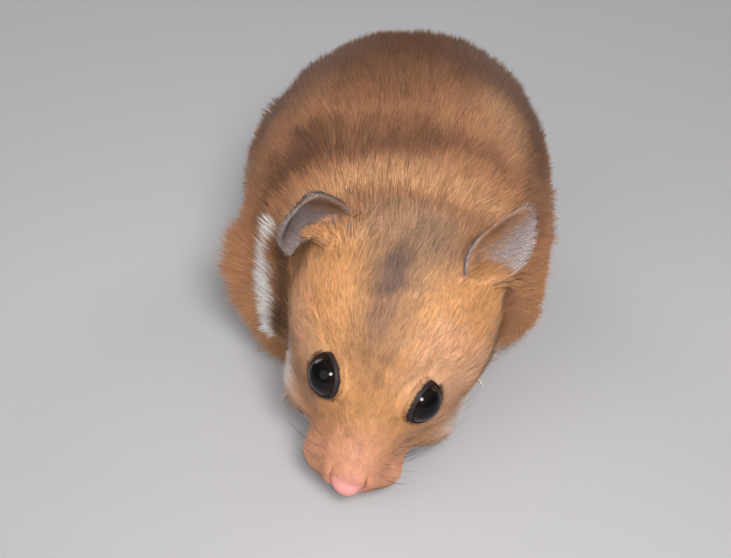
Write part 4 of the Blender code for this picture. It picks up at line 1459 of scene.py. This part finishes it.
WHISKER_TONES = (0.03, 0.022, 0.02), (0.30, 0.24, 0.21)
WHISKER_PATCHES = 0.42, 0.58


def whisker_material():
    shader = Shader("whisker_finish", roughness=0.45)
    patch = shader.noise(shader.place_mm(), 0.6, 1.0)
    return shader.set(base_color=shader.mix(shader.step(*WHISKER_PATCHES, patch), *WHISKER_TONES))


# ==================================================================== claws
PAWS = {"forepaw_left": 4, "forepaw_right": 4, "hindfoot_left": 5, "hindfoot_right": 5}
PAW_HUB = 0.62                 # share of the paw's length behind its front, from where the toes spread
TOES_APART, TOES_WITHIN = 9.0, 75.0     # degrees of heading
CLAW_LENGTH, CLAW_IN_TOE = 1.55 * MM, 0.9 * MM
CLAW_HEIGHT, CLAW_OVER_FLOOR = 0.95 * MM, 0.16 * MM
CLAW_RISE, CLAW_DROP = 0.25 * MM, 1.0 * MM
CLAW_RADIUS, CLAW_POINT = 0.34 * MM, 0.03 * MM
CLAW_TONES = (0.66, 0.50, 0.42), (0.80, 0.68, 0.60)


def toe_tips(name, count):
    """The claws' places on a paw: the farthest points ahead, well apart in direction."""
    points = coordinates(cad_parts[name].data)
    low, high = points.min(axis=0), points.max(axis=0)
    hub = np.array(((low[0] + high[0]) / 2, low[1] + PAW_HUB * (high[1] - low[1]), 0.0))
    away = (points - hub) * (1, 1, 0)
    heading = np.degrees(np.arctan2(away[:, 0], -away[:, 1]))
    found = []
    for index in np.argsort(-np.linalg.norm(away, axis=1)):
        clear = all(abs(heading[index] - heading[other]) > TOES_APART for other in found)
        if clear and abs(heading[index]) < TOES_WITHIN:
            found.append(index)
        if len(found) == count:
            break
    return [(points[index], unit(away[index])) for index in found]


class HAMSTER_OT_claws(bpy.types.Operator):
    """Make the small pale claws of all four feet"""

    bl_idname = "hamster.claws"
    bl_label = "Claws"

    def execute(self, context):
        material = claw_material()
        for name, count in PAWS.items():
            pile = Pile()
            for tip, ahead in toe_tips(name, count):
                pile.add(*self.claw(tip, ahead))
            item = pile.object(f"claws_{name}")
            item.data.materials.append(material)
            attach(item, "root")
        return {"FINISHED"}

    def claw(self, tip, ahead):
        """A small hook from inside the toe, forward and down to the floor."""
        steps, sides, taper = 7, 8, 0.8
        shares = np.linspace(0.0, 1.0, steps)[:, None]
        up = np.array((0.0, 0.0, 1.0))
        start = tip - ahead * CLAW_IN_TOE
        start[2] = CLAW_HEIGHT
        path = start + ahead * CLAW_LENGTH * shares + up * (CLAW_RISE * shares - CLAW_DROP * shares ** 2)
        path[:, 2] = np.maximum(path[:, 2], CLAW_OVER_FLOOR)
        return tube(path, CLAW_RADIUS * (1 - shares[:, 0]) ** taper + CLAW_POINT, sides)


def claw_material():
    shader = Shader("claw_finish", roughness=0.35)
    grain = shader.noise(shader.place_mm(), 3.0, 2.0)
    return shader.set(base_color=shader.mix(grain, *CLAW_TONES))


# ==================================================================== stage
CAMERA_TARGET = np.array((-3.2, -20.0, 25.0)) * MM
SENSOR_WIDTH = 36.0
CLIP_START = 0.01
# each light's place, diameter, and share of its group's power
KEY = (0.069, -0.329, 0.283), 0.12
KEY_SPREAD = math.radians(75.0)  # keeps the key light off the floor ahead
SOFT_BOXES = {
    "soft_left": ((0.40, -0.80, 0.60), 0.90, 0.6),
    "soft_right": ((-0.45, -0.75, 0.55), 0.90, 2.8),
    "soft_rear_left": ((0.65, 0.80, 0.38), 0.60, 3.4),
    "soft_rear_right": ((-0.65, 0.80, 0.38), 0.60, 3.4),
}
WORLD_COLOUR, WORLD_STRENGTH = (0.86, 0.87, 0.90, 1.0), 0.26
FLOOR_COLOUR = (0.52, 0.51, 0.52)
FLOOR_RADIUS, FLOOR_BEND, WALL_HEIGHT = 1.6, 0.8, 0.9
FLOOR_BEND_STEPS, FLOOR_SIDES = 16, 128


class HAMSTER_OT_stage(bpy.types.Operator):
    """Set the pale floor, the soft lights and the camera"""

    bl_idname = "hamster.stage"
    bl_label = "Stage"

    def execute(self, context):
        settings = context.scene.hamster_stage
        self.floor()
        self.camera(context, settings)
        self.light("key", *KEY, settings.key, KEY_SPREAD)
        for name, (place, size, share) in SOFT_BOXES.items():
            self.light(name, place, size, settings.fill * share)
        world = bpy.data.worlds.new("studio")
        world.use_nodes = True
        background = world.node_tree.nodes["Background"]
        background.inputs["Color"].default_value = WORLD_COLOUR
        background.inputs["Strength"].default_value = WORLD_STRENGTH
        context.scene.world = world
        context.scene.view_settings.view_transform = "Standard"
        return {"FINISHED"}

    def floor(self):
        """A round floor that turns up into a wall all the way round."""
        profile = [(FLOOR_RADIUS, 0.0)]
        for step in range(1, FLOOR_BEND_STEPS + 1):
            angle = math.radians(90 * step / FLOOR_BEND_STEPS)
            profile.append((
                FLOOR_RADIUS + FLOOR_BEND * math.sin(angle), FLOOR_BEND * (1 - math.cos(angle))))
        profile.append((FLOOR_RADIUS + FLOOR_BEND, FLOOR_BEND + WALL_HEIGHT))
        points, faces = [], []
        for radius, height in profile:
            for k in range(FLOOR_SIDES):
                angle = math.tau * k / FLOOR_SIDES
                points.append((radius * math.cos(angle), radius * math.sin(angle), height))
        faces.append(tuple(range(FLOOR_SIDES)))
        for ring in range(len(profile) - 1):
            for k in range(FLOOR_SIDES):
                j = (k + 1) % FLOOR_SIDES
                low, high = ring * FLOOR_SIDES, (ring + 1) * FLOOR_SIDES
                faces.append((low + k, high + k, high + j, low + j))
        mesh = mesh_from("floor", points, faces)
        mesh.shade_smooth()
        item = new_object("floor", mesh)
        shader = Shader("floor_finish", roughness=0.8, specular_ior_level=0.2)
        mesh.materials.append(shader.set(base_color=FLOOR_COLOUR))

    def camera(self, context, settings):
        level = math.cos(settings.elevation)
        back = np.array((
            math.sin(settings.azimuth) * level, -math.cos(settings.azimuth) * level,
            math.sin(settings.elevation)))
        data = bpy.data.cameras.new("camera")
        data.lens = settings.lens
        data.sensor_width = SENSOR_WIDTH
        data.clip_start = CLIP_START
        context.scene.camera = aimed("camera", data, CAMERA_TARGET + back * settings.distance)

    def light(self, name, place, size, power, spread=math.pi):
        data = bpy.data.lights.new(name, "AREA")
        data.spread = spread
        data.shape = "DISK"
        data.size = size
        data.energy = power
        aimed(name, data, place)


def aimed(name, data, place):
    """A camera or light at a place, turned towards the camera's target."""
    item = new_object(name, data)
    item.location = place
    item.rotation_mode = "QUATERNION"
    item.rotation_quaternion = (Vector(CAMERA_TARGET) - Vector(place)).to_track_quat("-Z", "Y")
    return item


# ==================================================================== panel and run
STEPS = ("skin", "eyes", "coat", "whiskers", "claws", "stage")


class HAMSTER_PT_panel(bpy.types.Panel):
    """Settings and steps of the hamster's looks"""

    bl_idname = "HAMSTER_PT_panel"
    bl_label = "Syrian hamster"
    bl_space_type = "VIEW_3D"
    bl_region_type = "UI"
    bl_category = "Hamster"

    def draw(self, context):
        for group in ("hamster_colours", "hamster_coat", "hamster_stage"):
            settings = getattr(context.scene, group)
            column = self.layout.column(align=True)
            for name in settings.__annotations__:
                column.prop(settings, name)
        for step in STEPS:
            self.layout.operator(f"hamster.{step}")


SETTINGS = {
    "hamster_colours": HamsterColours, "hamster_coat": HamsterCoat, "hamster_stage": HamsterStage}
CLASSES = (
    *SETTINGS.values(), HAMSTER_OT_skin, HAMSTER_OT_eyes, HAMSTER_OT_coat, HAMSTER_OT_whiskers,
    HAMSTER_OT_claws, HAMSTER_OT_stage, HAMSTER_PT_panel)


def register():
    for item in CLASSES:
        bpy.utils.register_class(item)
    for name, group in SETTINGS.items():
        setattr(bpy.types.Scene, name, PointerProperty(type=group))


def unregister():
    for name in SETTINGS:
        delattr(bpy.types.Scene, name)
    for item in reversed(CLASSES):
        bpy.utils.unregister_class(item)


def main():
    register()
    for step in STEPS:
        getattr(bpy.ops.hamster, step)()


if __name__ == "__main__":
    main()
